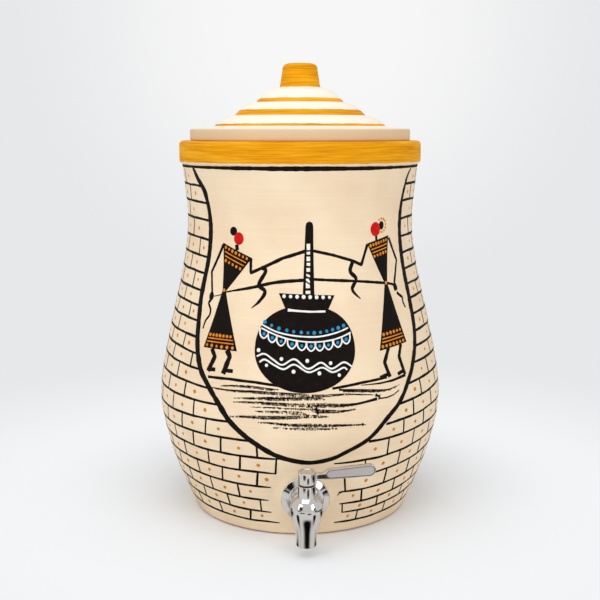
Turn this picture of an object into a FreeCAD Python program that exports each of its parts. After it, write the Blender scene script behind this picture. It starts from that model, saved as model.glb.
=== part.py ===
import FreeCAD, Part
import math
import os

from FreeCAD import Vector

# A clay water pot with a loose stepped lid and a small quarter-turn tap of plated brass.
# Millimetres. The origin is the middle of the foot, +Z is up, and the tap is at the front, on -Y.
# The tap leans forward, so its pieces are made upright in a frame of their own and then set at the
# seat: there the inlet runs along -Y at height 0, and the valve stands upright, one reach ahead.

# Pot wall, outside: a radius at each station, and how far the station is above the one before
foot_radius = 94.0
foot_edge = 4.5
low_rise = 35.5
low_radius = 113.5
swell_rise = 38.0
swell_radius = 124.4
belly_rise = 29.0
belly_radius = 127.5
shoulder_rise = 33.0
shoulder_radius = 123.3
slope_rise = 60.0
slope_radius = 109.7
waist_rise = 59.0
waist_radius = 100.6
neck_rise = 50.0
neck_radius = 104.5

# Pot wall, inside
wall = 9.0
base_thickness = 12.0
floor_corner = 10.0

# Rim band: the thickened lip that the lid rests on
rim_lead = 2.5
rim_height = 19.2
rim_proud = 2.6
rim_crown = 0.4
rim_top_corner = 3.5
rim_low_corner = 2.0
rim_inset = 5.0
mouth_corner = 2.0
throat_height = 16.0

# Lid: a flat edge, three stepped tiers and a knob, one hollow piece of clay
lid_overlap = 7.0
lid_edge = 10.3
lid_edge_corner = 1.8
lid_fall = 2.7
lid_clearance = 1.5
lid_wall = 8.0
ring_thickness = 8.0
ring_depth = 12.0
first_step_radius = 75.6
first_step_rise = 1.3
first_step_batter = 0.9
first_tier_rise = 8.3
second_step_radius = 58.2
second_step_rise = 4.4
second_step_batter = 4.5
second_tier_rise = 7.5
third_step_radius = 38.8
third_step_rise = 2.8
third_step_batter = 2.4
dome_rise = 10.2
tier_crown = 1.3
knob_radius = 17.4
knob_height = 19.8
knob_batter = 2.8
knob_corner = 4.5

# Seat of the tap: the clay is worked flat round a hole, outside and inside
tap_height = 40.0
tap_lean = 6.0
seat_build_up = 4.5
seat_radius = 17.0
seat_spread = 7.0
wall_hole_clearance = 1.0
flange_wall_gap = 0.5

# Inlet of the tap and what clamps it to the pot
inlet_radius = 8.0
inlet_bore = 4.0
inlet_spare = 3.0
washer_fit = 0.3
gasket_thickness = 3.0
gasket_radius = 14.0
flange_radius = 20.0
flange_sheet = 1.2
flange_dish = 2.6
inner_gasket_radius = 16.0
clamp_washer_radius = 15.0
clamp_washer_thickness = 1.5
nut_across_flats = 24.0
nut_thickness = 8.0
nut_chamfer = 1.2
thread_fit = 0.05

# Tap body
valve_reach = 25.0
root_ring_radius = 13.3
root_ring_width = 2.0
branch_radius = 12.4
body_radius = 13.2
body_lift = 4.5
body_pull = 10.5
spout_drop = 27.5
spout_radius = 8.25
spout_pull = 15.5
spout_wall = 1.85
spout_lip = 0.6
spout_bore_height = 13.5
drain_radius = 3.4
drain_height = 2.5
valve_neck_radius = 7.3
valve_neck_top = 25.4

# Rotary valve inside the tap body
core_radius = 5.0
core_bottom = 7.5
core_top = 16.3
running_fit = 0.05
end_play = 0.1
port_radius = 3.0
drain_bore = 2.6
core_ring_section = 0.7
core_ring_squeeze = 0.03
upper_ring_height = 7.0
lower_ring_depth = 5.3
inlet_seal_radius = 4.5
inlet_seal_length = 6.0
inlet_seal_bore = 3.2
stem_radius = 3.5
stem_square = 4.9
thrust_washer_thickness = 1.0
gland_radius = 6.0
gland_stand = 0.8
gland_slot = 1.6
gland_slot_depth = 1.2
stem_ring_section = 0.65
stem_ring_height = 21.0
press_fit = 0.02

# Stop: an upright pin in the gland runs in a curved slot under the lever's hub
valve_turn = 90.0
stop_pin_radius = 0.7
stop_pin_circle = 4.8
stop_pin_depth = 3.8
stop_pin_rise = 2.2
stop_clearance = 0.3
stop_pin_angle = 180.0

# Lever
hub_gap = 1.4
hub_radius = 7.1
hub_height = 10.0
hub_corner = 0.6
hub_web = 1.1
stem_socket_height = 5.1
cap_radius = 5.2
cap_sheet = 0.9
cap_sink = 0.6
cap_skirt = 0.8
cap_dimple = 1.5
cap_dimple_floor = 0.6
cap_dimple_depth = 0.5
screw_radius = 1.5
screw_length = 8.0
screw_head_radius = 2.9
screw_head_height = 1.6
screw_socket = 2.0
screw_socket_depth = 0.9
screw_fit = 0.1
screw_hole_spare = 1.2
spring_washer_radius = 2.7
spring_washer_thickness = 0.6
spring_washer_split = 0.5
lever_back_turn = 7.5
lever_length = 56.0
lever_stem_lift = 2.1
lever_stem_height = 5.6
lever_thickness = 3.6
blade_start = 11.5
blade_full = 18.5
blade_height = 8.6
blade_end_height = 10.4
blade_edge = 0.5
panel_start = 15.2
panel_point = 2.4
panel_margin = 0.9
panel_depth = 0.3

# Heights and radii that follow from the sizes above
belly_height = foot_edge + low_rise + swell_rise + belly_rise
neck_height = belly_height + shoulder_rise + slope_rise + waist_rise + neck_rise
rim_bottom = neck_height + rim_lead
rim_top = rim_bottom + rim_height
rim_radius = neck_radius + rim_proud
mouth_radius = neck_radius - wall - rim_inset
lid_radius = mouth_radius + lid_overlap
flange_face = gasket_thickness + flange_sheet
flange_flat = gasket_radius + washer_fit
hub_bottom = valve_neck_top + hub_gap
hub_top = hub_bottom + hub_height
socket_top = hub_bottom + stem_socket_height
cap_floor = socket_top + hub_web
gland_bottom = core_top + end_play + thrust_washer_thickness
gland_top = valve_neck_top + gland_stand
chamber_radius = core_radius + running_fit
square_start = hub_bottom + stop_pin_rise
screw_tip = cap_floor + spring_washer_thickness - screw_length
core_ring_circle = chamber_radius - core_ring_squeeze - core_ring_section
stem_ring_circle = stem_radius + core_ring_squeeze + stem_ring_section


def flat(point):
    """A (radius, height) pair as a point of the XZ plane, which every outline is drawn in."""
    return Vector(point[0], 0, point[1])


def edge_through(points):
    """Two points give a line, three an arc, four a curve pulled by the middle two, more a smooth curve."""
    if len(points) == 2:
        return Part.LineSegment(*points).toShape()
    if len(points) == 3:
        return Part.Arc(*points).toShape()
    if len(points) == 4:
        pulled = Part.BezierCurve()
        pulled.setPoles(points)
        return pulled.toShape()
    smooth = Part.BSplineCurve()
    smooth.interpolate(points)
    return smooth.toShape()


def outline(start, *steps):
    """Closed face from a start point and steps; a step is a point, or a list of points for a curve."""
    here = flat(start)
    edges = []
    for step in steps:
        points = [flat(point) for point in (step if isinstance(step, list) else [step])]
        edges.append(edge_through([here] + points))
        here = points[-1]
    edges.append(edge_through([here, flat(start)]))
    return Part.Face(Part.Wire(edges))


def turned(start, *steps):
    """Solid of revolution about Z."""
    return outline(start, *steps).revolve(Vector(0, 0, 0), Vector(0, 0, 1), 360)


def ring(inner, outer, bottom, top):
    """Plain washer or tube about Z."""
    return turned((inner, bottom), (outer, bottom), (outer, top), (inner, top))


def rod(radius, bottom, top):
    """Plain cylinder about Z."""
    return Part.makeCylinder(radius, top - bottom, Vector(0, 0, bottom))


def corner(centre, radius, start_angle, turn):
    """The two points of an arc step: half way round a corner and at its end; angles in degrees."""
    points = []
    for share in (0.5, 1.0):
        angle = math.radians(start_angle + share * turn)
        points.append((centre[0] + radius * math.cos(angle), centre[1] + radius * math.sin(angle)))
    return points


def crowned(start, end, crown):
    """An arc step from start to end that rises by crown in the middle, square to the chord."""
    run = end[0] - start[0]
    rise = end[1] - start[1]
    length = math.hypot(run, rise)
    middle_radius = (start[0] + end[0]) / 2 + crown * rise / length
    middle_height = (start[1] + end[1]) / 2 - crown * run / length
    return [(middle_radius, middle_height), end]


def wall_stations(inward):
    """The wall's stations from the foot to the neck, moved inward."""
    stations = []
    height = foot_edge
    for rise, radius in ((0, foot_radius + foot_edge), (low_rise, low_radius), (swell_rise, swell_radius),
                         (belly_rise, belly_radius), (shoulder_rise, shoulder_radius),
                         (slope_rise, slope_radius), (waist_rise, waist_radius), (neck_rise, neck_radius)):
        height += rise
        stations.append((radius - inward, height))
    return stations


def wall_radius(height):
    """Outer radius of the wall at a height, read from the same curve that the wall is turned from."""
    curve = edge_through([flat(station) for station in wall_stations(0)]).Curve
    low = curve.FirstParameter
    high = curve.LastParameter
    while high - low > 1e-7:
        middle = (low + high) / 2
        if curve.value(middle).z < height:
            low = middle
        else:
            high = middle
    return curve.value(low).x


def seat_distance():
    """How far the middle of the tap's seat is from the pot's axis: the flange's edge clears the wall all round."""
    lean = math.radians(tap_lean)
    rim_stand = gasket_thickness - flange_dish
    reaches = []
    for angle in (0, 30, 60, 90, 120, 150, 180):
        side = flange_radius * math.sin(math.radians(angle))
        up = flange_radius * math.cos(math.radians(angle))
        wall_there = wall_radius(tap_height + up * math.cos(lean))
        reaches.append(math.sqrt(wall_there ** 2 - side ** 2) - up * math.sin(lean))
    return max(reaches) - rim_stand * math.cos(lean) + flange_wall_gap


def seat_thickness():
    """Clay between the outer and the inner face of the tap's seat."""
    return wall + seat_build_up


def on_inlet(shape):
    """Lay a piece made upright along the inlet, so that its height runs outwards from the seat."""
    shape.rotate(Vector(0, 0, 0), Vector(1, 0, 0), 90)
    return shape


def on_valve(shape):
    """Move a piece made about Z onto the valve's axis."""
    shape.translate(Vector(0, -valve_reach, 0))
    return shape


def at_seat(shape):
    """Lean a piece of the tap forward and set it at the seat."""
    shape.rotate(Vector(0, 0, 0), Vector(1, 0, 0), tap_lean)
    shape.translate(Vector(0, -seat_distance(), tap_height))
    return shape


def pot_outside():
    """Solid form of the pot with its foot, belly, neck and rim band."""
    stations = wall_stations(0)
    low_centre = (rim_radius - rim_low_corner, rim_bottom + rim_low_corner)
    top_centre = (rim_radius - rim_top_corner, rim_top - rim_top_corner)
    band_low = (rim_radius, low_centre[1])
    band_top = (rim_radius, top_centre[1])
    return turned(
        (0, 0),
        (foot_radius, 0),
        corner((foot_radius, foot_edge), foot_edge, -90, 90),
        stations[1:],
        (neck_radius, rim_bottom),
        (low_centre[0], rim_bottom),
        corner(low_centre, rim_low_corner, -90, 90),
        crowned(band_low, band_top, rim_crown),
        corner(top_centre, rim_top_corner, 0, 90),
        (0, rim_top),
    )


def pot_inside():
    """Solid form of the hollow, up through the mouth."""
    side_height = base_thickness + floor_corner
    side_radius = wall_radius(side_height) - wall
    floor_centre = (side_radius - floor_corner, side_height)
    lip_centre = (mouth_radius + mouth_corner, rim_top - mouth_corner)
    above_mouth = rim_top + mouth_corner
    return turned(
        (0, base_thickness),
        (floor_centre[0], base_thickness),
        corner(floor_centre, floor_corner, -90, 90),
        [station for station in wall_stations(wall) if station[1] > side_height],
        (mouth_radius, rim_top - throat_height),
        (mouth_radius, lip_centre[1]),
        corner(lip_centre, mouth_corner, 180, -90),
        (lip_centre[0], above_mouth),
        (0, above_mouth),
    )


def pot_body():
    """The thrown pot, with flat faces worked outside and inside the hole for the tap."""
    thickness = seat_thickness()
    boss = turned((0, 0), (seat_radius, 0), (seat_radius + seat_spread, -thickness), (0, -thickness))
    outer_face = rod(seat_radius, 0, thickness)
    inner_face = rod(seat_radius, -2 * thickness, -thickness)
    hole = rod(inlet_radius + wall_hole_clearance, -2 * thickness, thickness)
    pot = pot_outside().cut(pot_inside()).fuse(at_seat(on_inlet(boss)))
    for cutter in (outer_face, inner_face, hole):
        pot = pot.cut(at_seat(on_inlet(cutter)))
    return pot


def lid():
    """Hollow lid: flat edge, three stepped tiers, knob, and a ring underneath that finds the mouth."""
    base = rim_top
    edge_low = (lid_radius - lid_edge_corner, base + lid_edge_corner)
    edge_high = (lid_radius - lid_edge_corner, base + lid_edge - lid_edge_corner)
    first_foot = (first_step_radius, base + lid_edge + lid_fall)
    first_top = (first_foot[0] - first_step_batter, first_foot[1] + first_step_rise)
    second_foot = (second_step_radius, first_top[1] + first_tier_rise)
    second_top = (second_foot[0] - second_step_batter, second_foot[1] + second_step_rise)
    third_foot = (third_step_radius, second_top[1] + second_tier_rise)
    third_top = (third_foot[0] - third_step_batter, third_foot[1] + third_step_rise)
    knob_foot = (knob_radius, third_top[1] + dome_rise)
    knob_top = knob_foot[1] + knob_height
    knob_centre = (knob_radius - knob_batter - knob_corner, knob_top - knob_corner)
    ring_outer = mouth_radius - lid_clearance
    outside = turned(
        (0, base - ring_depth),
        (ring_outer, base - ring_depth),
        (ring_outer, base),
        (edge_low[0], base),
        corner(edge_low, lid_edge_corner, -90, 90),
        (lid_radius, edge_high[1]),
        corner(edge_high, lid_edge_corner, 0, 90),
        first_foot,
        first_top,
        crowned(first_top, second_foot, tier_crown),
        second_top,
        crowned(second_top, third_foot, tier_crown),
        third_top,
        crowned(third_top, knob_foot, tier_crown),
        (knob_radius - knob_batter, knob_centre[1]),
        corner(knob_centre, knob_corner, 0, 90),
        (0, knob_top),
    )
    ring_inner = ring_outer - ring_thickness
    hollow_top = knob_foot[1] - lid_wall
    hollow = turned(
        (0, base - 2 * ring_depth),
        (ring_inner, base - 2 * ring_depth),
        (ring_inner, base),
        [(second_step_radius, second_foot[1] - lid_wall), (third_step_radius, third_foot[1] - lid_wall),
         (knob_radius * 1.5, hollow_top - lid_wall / 2), (knob_radius, hollow_top)],
        (0, hollow_top),
    )
    return outside.cut(hollow)


def hexagon(across_flats, bottom, top):
    """Upright six-sided bar about Z."""
    reach = across_flats / math.sqrt(3)
    angles = [math.radians(60 * side) for side in range(6)]
    corners = [Vector(reach * math.cos(angle), reach * math.sin(angle), bottom) for angle in angles]
    return Part.Face(Part.makePolygon(corners + corners[:1])).extrude(Vector(0, 0, top - bottom))


def clamp_stack():
    """Where each piece inside the pot starts and ends along the inlet, from the seat's inner face."""
    gasket = -seat_thickness()
    washer = gasket - gasket_thickness
    nut = washer - clamp_washer_thickness
    end = nut - nut_thickness
    return gasket, washer, nut, end, end - inlet_spare


def outer_gasket():
    """Rubber ring between the clay and the flange."""
    return ring(inlet_radius + washer_fit, gasket_radius, 0, gasket_thickness)


def wall_flange():
    """Dished cover ring that hides the gasket; its edge comes back nearly to the clay."""
    rim_low = gasket_thickness - flange_dish
    slope = math.atan2(flange_dish, flange_radius - flange_flat)
    rim_half = flange_sheet / 2
    return turned(
        (inlet_radius + washer_fit, gasket_thickness),
        (flange_flat, gasket_thickness),
        (flange_radius - rim_half, rim_low),
        [(flange_radius, rim_low + rim_half), (flange_radius - rim_half, rim_low + flange_sheet)],
        (flange_flat + flange_sheet * math.tan(slope / 2), flange_face),
        (inlet_radius + washer_fit, flange_face),
    )


def inner_gasket():
    """Rubber ring inside the pot."""
    gasket, washer = clamp_stack()[:2]
    return ring(inlet_radius + washer_fit, inner_gasket_radius, washer, gasket)


def clamp_washer():
    """Plain steel washer that spreads the nut's load over the inner gasket."""
    washer, nut = clamp_stack()[1:3]
    return ring(inlet_radius + washer_fit, clamp_washer_radius, nut, washer)


def lock_nut():
    """Hexagon nut inside the pot, its corners chamfered both sides."""
    nut, end = clamp_stack()[2:4]
    reach = nut_across_flats / math.sqrt(3)
    blank = turned(
        (0, end),
        (reach - nut_chamfer, end),
        (reach, end + nut_chamfer / 2),
        (reach, nut - nut_chamfer / 2),
        (reach - nut_chamfer, nut),
        (0, nut),
    )
    return hexagon(nut_across_flats, end, nut).common(blank).cut(rod(inlet_radius + thread_fit, end, nut))


def body_outside():
    """Casting of the tap: inlet, root ring, branch, and the round body that narrows to the spout."""
    inlet = rod(inlet_radius, clamp_stack()[4], flange_face)
    root = rod(root_ring_radius, flange_face, flange_face + root_ring_width)
    branch = rod(branch_radius, flange_face, valve_reach)
    crown = body_lift + body_radius
    body = turned(
        (0, -spout_drop),
        (spout_radius - spout_lip, -spout_drop),
        corner((spout_radius - spout_lip, spout_lip - spout_drop), spout_lip, -90, 90),
        [(spout_radius, spout_pull - spout_drop), (body_radius, body_lift - body_pull),
         (body_radius, body_lift)],
        corner((0, body_lift), body_radius, 0, 90),
    )
    neck = rod(valve_neck_radius, body_lift, valve_neck_top)
    casting = on_valve(body.fuse(neck))
    for piece in (root, branch, inlet):
        casting = casting.fuse(on_inlet(piece))
    return casting.removeSplitter()


def tap_body():
    """The casting with its waterway, the valve chamber, the gland thread and the spout bore."""
    chamber_floor = -core_bottom - end_play
    spout_bore = spout_radius - spout_wall
    spout_bore_top = spout_bore_height - spout_drop
    seal_start = valve_reach - inlet_seal_length - chamber_radius / 2
    tap = body_outside()
    for cutter in (
        rod(inlet_bore, clamp_stack()[4], valve_reach),
        rod(inlet_seal_radius + press_fit, seal_start, valve_reach),
    ):
        tap = tap.cut(on_inlet(cutter))
    for cutter in (
        rod(chamber_radius, chamber_floor, valve_neck_top),
        rod(gland_radius, core_top + end_play, valve_neck_top),
        rod(drain_radius, chamber_floor - drain_height, 0),
        turned((0, -spout_drop), (spout_bore, -spout_drop), (spout_bore, spout_bore_top),
               (drain_radius, chamber_floor - drain_height), (0, chamber_floor - drain_height)),
    ):
        tap = tap.cut(on_valve(cutter))
    return tap


def inlet_seal():
    """Rubber sleeve in the inlet whose hollowed end bears on the valve core round its port."""
    start = valve_reach - inlet_seal_length - chamber_radius / 2
    sleeve = on_inlet(ring(inlet_seal_bore, inlet_seal_radius, start, valve_reach))
    return sleeve.cut(on_valve(rod(chamber_radius, -inlet_seal_radius * 2, inlet_seal_radius * 2)))


def square_bar(across_flats, bottom, top):
    """Upright square bar about Z."""
    half = across_flats / 2
    return Part.makeBox(across_flats, across_flats, top - bottom, Vector(-half, -half, bottom))


def valve_core():
    """Turned plug with a side port, a drain down its middle, two ring grooves and a squared stem."""
    plug = rod(core_radius, -core_bottom, core_top)
    stem = rod(stem_radius, core_top, square_start)
    stem_end = rod(stem_radius, square_start, socket_top)
    square = square_bar(stem_square, square_start, socket_top).common(stem_end)
    core = plug.fuse(stem).fuse(square)
    port = rod(port_radius, 0, core_radius * 2)
    port.rotate(Vector(0, 0, 0), Vector(0, 1, 0), -90)
    groove_floor = core_ring_circle - core_ring_section
    groove_half = core_ring_section + running_fit
    cutters = [port, rod(drain_bore, -core_bottom, 0)]
    cutters.append(rod(screw_radius + press_fit, screw_tip - screw_hole_spare, socket_top))
    for height in (upper_ring_height, -lower_ring_depth):
        cutters.append(ring(groove_floor, core_radius * 2, height - groove_half, height + groove_half))
    for cutter in cutters:
        core = core.cut(cutter)
    return on_valve(core)


def core_o_rings():
    """The two rubber rings on the core."""
    rings = []
    for height in (upper_ring_height, -lower_ring_depth):
        torus = Part.makeTorus(core_ring_circle, core_ring_section, Vector(0, 0, height))
        rings.append(on_valve(torus))
    return Part.makeCompound(rings)


def thrust_washer():
    """Slippery washer between the core's shoulder and the gland."""
    bottom = core_top + end_play
    return on_valve(ring(stem_radius + washer_fit, gland_radius - running_fit, bottom, gland_bottom))


def gland_nut():
    """Slotted nut in the tap's neck that holds the core down, with a groove for the stem's ring."""
    nut = ring(stem_radius + running_fit, gland_radius - thread_fit, gland_bottom, gland_top)
    groove_half = stem_ring_section + running_fit
    groove = ring(
        stem_radius,
        stem_ring_circle + groove_half,
        stem_ring_height - groove_half,
        stem_ring_height + groove_half,
    )
    slot = Part.makeBox(
        gland_slot, 2 * gland_radius, gland_slot_depth,
        Vector(-gland_slot / 2, -gland_radius, gland_top - gland_slot_depth),
    )
    pin_hole = at_stop(rod(stop_pin_radius + press_fit, gland_top - stop_pin_depth, gland_top))
    return on_valve(nut.cut(groove).cut(slot).cut(pin_hole))


def stem_o_ring():
    """Rubber ring in the gland round the stem."""
    return on_valve(Part.makeTorus(stem_ring_circle, stem_ring_section, Vector(0, 0, stem_ring_height)))


def at_stop(shape):
    """Move an upright piece from the middle of the valve out to where the stop pin stands."""
    shape.translate(Vector(stop_pin_circle, 0, 0))
    shape.rotate(Vector(0, 0, 0), Vector(0, 0, 1), stop_pin_angle)
    return shape


def stop_pin():
    """Upright pin, pressed into the gland, that stops the lever at both ends of its turn."""
    top = square_start - stop_clearance
    return on_valve(at_stop(rod(stop_pin_radius, gland_top - stop_pin_depth, top)))


def stop_slot():
    """Curved slot under the hub; it is longer than the pin by the turn of the valve."""
    half = stop_pin_radius + stop_clearance
    inner = stop_pin_circle - half
    outer = stop_pin_circle + half
    below = hub_bottom - half
    band = outline((inner, below), (outer, below), (outer, square_start), (inner, square_start))
    slot = band.revolve(Vector(0, 0, 0), Vector(0, 0, 1), valve_turn)
    slot.rotate(Vector(0, 0, 0), Vector(0, 0, 1), stop_pin_angle)
    for turn in (0, valve_turn):
        end = at_stop(rod(half, below, square_start))
        end.rotate(Vector(0, 0, 0), Vector(0, 0, 1), turn)
        slot = slot.fuse(end)
    return slot


def lever_blade():
    """Flat arm: a slim stem that swells into a round-ended blade, with a sunk panel in front."""
    floor = hub_bottom + lever_stem_lift
    stem_top = floor + lever_stem_height
    blade_top = floor + blade_height
    end_top = floor + blade_end_height
    end_radius = blade_end_height / 2
    end_start = lever_length - end_radius
    swell = (blade_start + blade_full) / 2
    front = -lever_thickness / 2
    arm = outline(
        (0, floor),
        (0, stem_top),
        (blade_start, stem_top),
        [(swell, stem_top), (swell, blade_top), (blade_full, blade_top)],
        (end_start, end_top),
        [(lever_length, floor + end_radius), (end_start, floor)],
    ).extrude(Vector(0, lever_thickness, 0))
    arm.translate(Vector(0, front, 0))
    rims = [edge for edge in arm.Edges if abs(edge.Vertexes[0].Y - edge.Vertexes[-1].Y) < blade_edge / 2]
    arm = arm.makeFillet(blade_edge, rims)
    panel_corner = panel_start + panel_point
    panel = outline(
        (panel_start, (floor + blade_top) / 2),
        (panel_corner, blade_top - panel_margin),
        (end_start, end_top - panel_margin),
        [(lever_length - panel_margin, floor + end_radius), (end_start, floor + panel_margin)],
        (panel_corner, floor + panel_margin),
    ).extrude(Vector(0, panel_depth, 0))
    panel.translate(Vector(0, front, 0))
    return arm.cut(panel)


def lever():
    """Hub and arm in one piece, closed and turned a little back from the pot's side."""
    hub = turned(
        (0, hub_bottom),
        (hub_radius, hub_bottom),
        (hub_radius, hub_top - hub_corner),
        corner((hub_radius - hub_corner, hub_top - hub_corner), hub_corner, 0, 90),
        (0, hub_top),
    )
    handle = lever_blade().fuse(hub)
    handle.rotate(Vector(0, 0, 0), Vector(0, 0, 1), lever_back_turn)
    for cutter in (
        rod(cap_radius, cap_floor, hub_top + hub_corner),
        rod(screw_radius + screw_fit, hub_bottom, hub_top),
        square_bar(stem_square + 2 * press_fit, square_start, socket_top),
        rod(stem_radius + press_fit, hub_bottom, square_start),
        stop_slot(),
    ):
        handle = handle.cut(cutter)
    return on_valve(handle)


def lever_screw():
    """Socket-head screw that holds the hub down on the stem."""
    head_bottom = cap_floor + spring_washer_thickness
    head_top = head_bottom + screw_head_height
    screw = rod(screw_radius, screw_tip, head_bottom).fuse(rod(screw_head_radius, head_bottom, head_top))
    return on_valve(screw.cut(hexagon(screw_socket, head_top - screw_socket_depth, head_top)))


def spring_washer():
    """Split washer under the screw's head."""
    top = cap_floor + spring_washer_thickness
    washer = ring(screw_radius + press_fit, spring_washer_radius, cap_floor, top)
    corner_point = Vector(0, 0, cap_floor)
    split = Part.makeBox(spring_washer_radius, spring_washer_split, spring_washer_thickness, corner_point)
    return on_valve(washer.cut(split))


def cap_plug():
    """Pressed cover over the screw: a disc, dimpled in the middle, on a skirt that stands on the hub's web."""
    outer = cap_radius - press_fit
    top = hub_top - cap_sink
    return on_valve(turned(
        (0, top - cap_sheet),
        (outer - cap_skirt, top - cap_sheet),
        (outer - cap_skirt, cap_floor),
        (outer, cap_floor),
        (outer, top),
        (cap_dimple, top),
        (cap_dimple_floor, top - cap_dimple_depth),
        (0, top - cap_dimple_depth),
    ))


def write_parts():
    """One file per piece; the tap's pieces are leaned and set at the seat as they are written."""
    os.makedirs("parts", exist_ok=True)
    clay = (pot_body, lid)
    tap = (outer_gasket, wall_flange, inner_gasket, clamp_washer, lock_nut)
    valve = (tap_body, inlet_seal, valve_core, core_o_rings, thrust_washer, gland_nut, stem_o_ring,
             stop_pin, lever, lever_screw, spring_washer, cap_plug)
    for make in clay:
        write(make.__name__, make())
    for make in tap:
        write(make.__name__, at_seat(on_inlet(make())))
    for make in valve:
        write(make.__name__, at_seat(make()))


def write(name, shape):
    """Save one piece and print what it measures."""
    box = shape.BoundBox
    shape.exportStep("parts/" + name + ".step")
    print(f"{name}: solids {len(shape.Solids)}, valid {shape.isValid()}, volume {shape.Volume:.1f},"
          f" z {box.ZMin:.2f} to {box.ZMax:.2f}")


write_parts()
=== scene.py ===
import math
import random

import bmesh
import bpy
from mathutils import Matrix, Vector, noise
from mathutils.geometry import delaunay_2d_cdt, interpolate_bezier


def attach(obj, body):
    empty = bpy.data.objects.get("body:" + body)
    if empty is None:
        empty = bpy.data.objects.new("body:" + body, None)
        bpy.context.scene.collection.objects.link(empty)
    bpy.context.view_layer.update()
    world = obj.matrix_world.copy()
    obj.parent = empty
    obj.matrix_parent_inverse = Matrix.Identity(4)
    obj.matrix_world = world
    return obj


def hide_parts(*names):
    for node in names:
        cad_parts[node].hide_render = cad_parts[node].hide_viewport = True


# A thrown and hand-painted clay water pot with a stepped lid and a small plated tap.
# All sizes are in millimetres, in the maker's frame: the foot's middle is the origin, +Z is up, the
# tap is at the front on -Y. Meshes are made in metres.
MM = 0.001
hand = random.Random(7)

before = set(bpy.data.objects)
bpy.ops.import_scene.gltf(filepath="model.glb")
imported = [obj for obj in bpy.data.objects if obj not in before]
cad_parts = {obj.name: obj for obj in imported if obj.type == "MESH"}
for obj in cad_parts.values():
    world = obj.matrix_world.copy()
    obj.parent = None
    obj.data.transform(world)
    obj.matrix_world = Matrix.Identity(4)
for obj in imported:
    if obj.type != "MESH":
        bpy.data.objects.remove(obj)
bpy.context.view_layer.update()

# Pot
foot_radius = 94.0
foot_edge = 4.5
bare_foot = 1.0
neck_radius = 104.5
neck_height = 309.0
# Outside of the wall: (radius, height) from the foot's edge to the neck
wall_stations = [(98.5, foot_edge), (113.5, 40), (124.4, 78), (127.5, 107), (123.3, 140), (109.7, 200),
                 (100.6, 259), (neck_radius, neck_height)]
wall = 9.0
base_thickness = 12.0
floor_corner = 10.0
rim_bottom = 311.5
rim_top = 330.7
rim_radius = 107.1
rim_face = (318.6, 322.0)
rim_flat = (98.5, 95.0)
mouth_radius = 90.5
mouth_edge = 326.0
throat_bottom = 314.7
mustard_bottom = 312.9
mustard_inner = 94.0
thrown_unevenness = 0.35
ring_unevenness = 0.12

# Lid
lid_radius = 97.5
lid_edge = 10.3
lid_shoulder = 85.0
lid_ring_radius = 89.0
lid_ring_depth = 12.0
lid_ring_wall = 8.0
# Its hollow from the middle of the ceiling outwards: (radius, height)
lid_hollow = [(17.4, 370.2), (26.1, 366.2), (38.8, 357.2), (58.2, 345.3), (70, 338.5)]
# Each gold riser: (foot radius, foot height, top radius, top height), and the bulge of the tier above
lid_risers = [(75.6, 343.4, 74.7, 344.7), (58.2, 352.5, 53.9, 356.8), (38.8, 364.0, 36.4, 366.8)]
tier_crowns = (1.6, 1.8, 2.5)
knob_foot = (17.9, 377.0)
knob_neck = (15.5, 391.5)
knob_top = 397.5
knob_corner = 5.0

# Tap: its own frame stands at the seat, inlet along -Y, and the valve one reach ahead
tap_height = 40.0
tap_lean = 6.0
seat_distance = 118.014
seat_radius = 17.2
seat_spread = 9.0
seat_thickness = 13.5
wall_hole = 9.0
valve_reach = 25.0
body_radius = 13.2
body_middle = 4.5
spout_radius = 8.25
branch_radius = 12.4
hub_bottom = 26.8
hub_top = 36.8
hub_radius = 7.1
hub_well = 5.2
lever_back_turn = 7.5
lever_length = 56.0
lever_floor = 28.9
lever_thickness = 3.6
lever_end = 5.2
panel_depth = 0.3
panel_start = 15.2
panel_half = 4.3
panel_middle = lever_floor + panel_half
crisp_edge = math.radians(33)

# Studio light: strengths, and the way to the middle of the pale backdrop
room_light = 0.61
overhead_power = 5.5
left_power = 4.3
right_power = 4.1
backdrop_centre = (0.05, 0.99, 0.1)

# Paint: laid out flat, X in millimetres round the wall at this radius and Y the height. It has this
# thickness and reaches this deep into the clay.
paint_radius = 115.0
paint_thickness = 0.14
paint_root = 0.1


def linear(hex_colour):
    """An sRGB hex colour as linear RGBA."""
    channels = [int(hex_colour[i:i + 2], 16) / 255 for i in (1, 3, 5)]
    return [c / 12.92 if c <= 0.04045 else ((c + 0.055) / 1.055) ** 2.4 for c in channels] + [1.0]


def feed(tree, node, inputs):
    """Give a node its inputs: values, hex colours, nodes' outputs, or nodes for their first output."""
    for name, value in inputs.items():
        source = value.outputs[0] if isinstance(value, bpy.types.Node) else value
        if isinstance(source, bpy.types.NodeSocket):
            tree.links.new(source, node.inputs[name])
        else:
            node.inputs[name].default_value = linear(value) if str(value).startswith("#") else value


def add(tree, kind, inputs=None, **settings):
    """Add a node with its settings and inputs; a shader node's kind is written without its prefix."""
    made = tree.nodes.new(kind if "Node" in kind else "ShaderNode" + kind)
    for name, value in settings.items():
        setattr(made, name, value)
    feed(tree, made, inputs or {})
    return made


# Materials

def finish(name, **surface):
    """A material named for its finish, with the plain values of its surface set on the shader."""
    made = bpy.data.materials.new(name)
    made.use_nodes = True
    tree = made.node_tree
    shader = tree.nodes["Principled BSDF"]
    feed(tree, shader, {socket.replace("_", " ").title().replace("Ior", "IOR"): value
                        for socket, value in surface.items()})
    return made, tree, shader


def streaked(tree, along, across, detail=4.0):
    """Noise drawn out round the pot: millimetres along the stroke and across it."""
    place = add(tree, "TexCoord").outputs["Object"]
    scale = [1 / (size * MM) for size in (along, along, across)]
    drawn = add(tree, "Mapping", {"Vector": place, "Scale": scale})
    return add(tree, "TexNoise", {"Vector": drawn, "Scale": 1.0, "Detail": detail})


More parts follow.
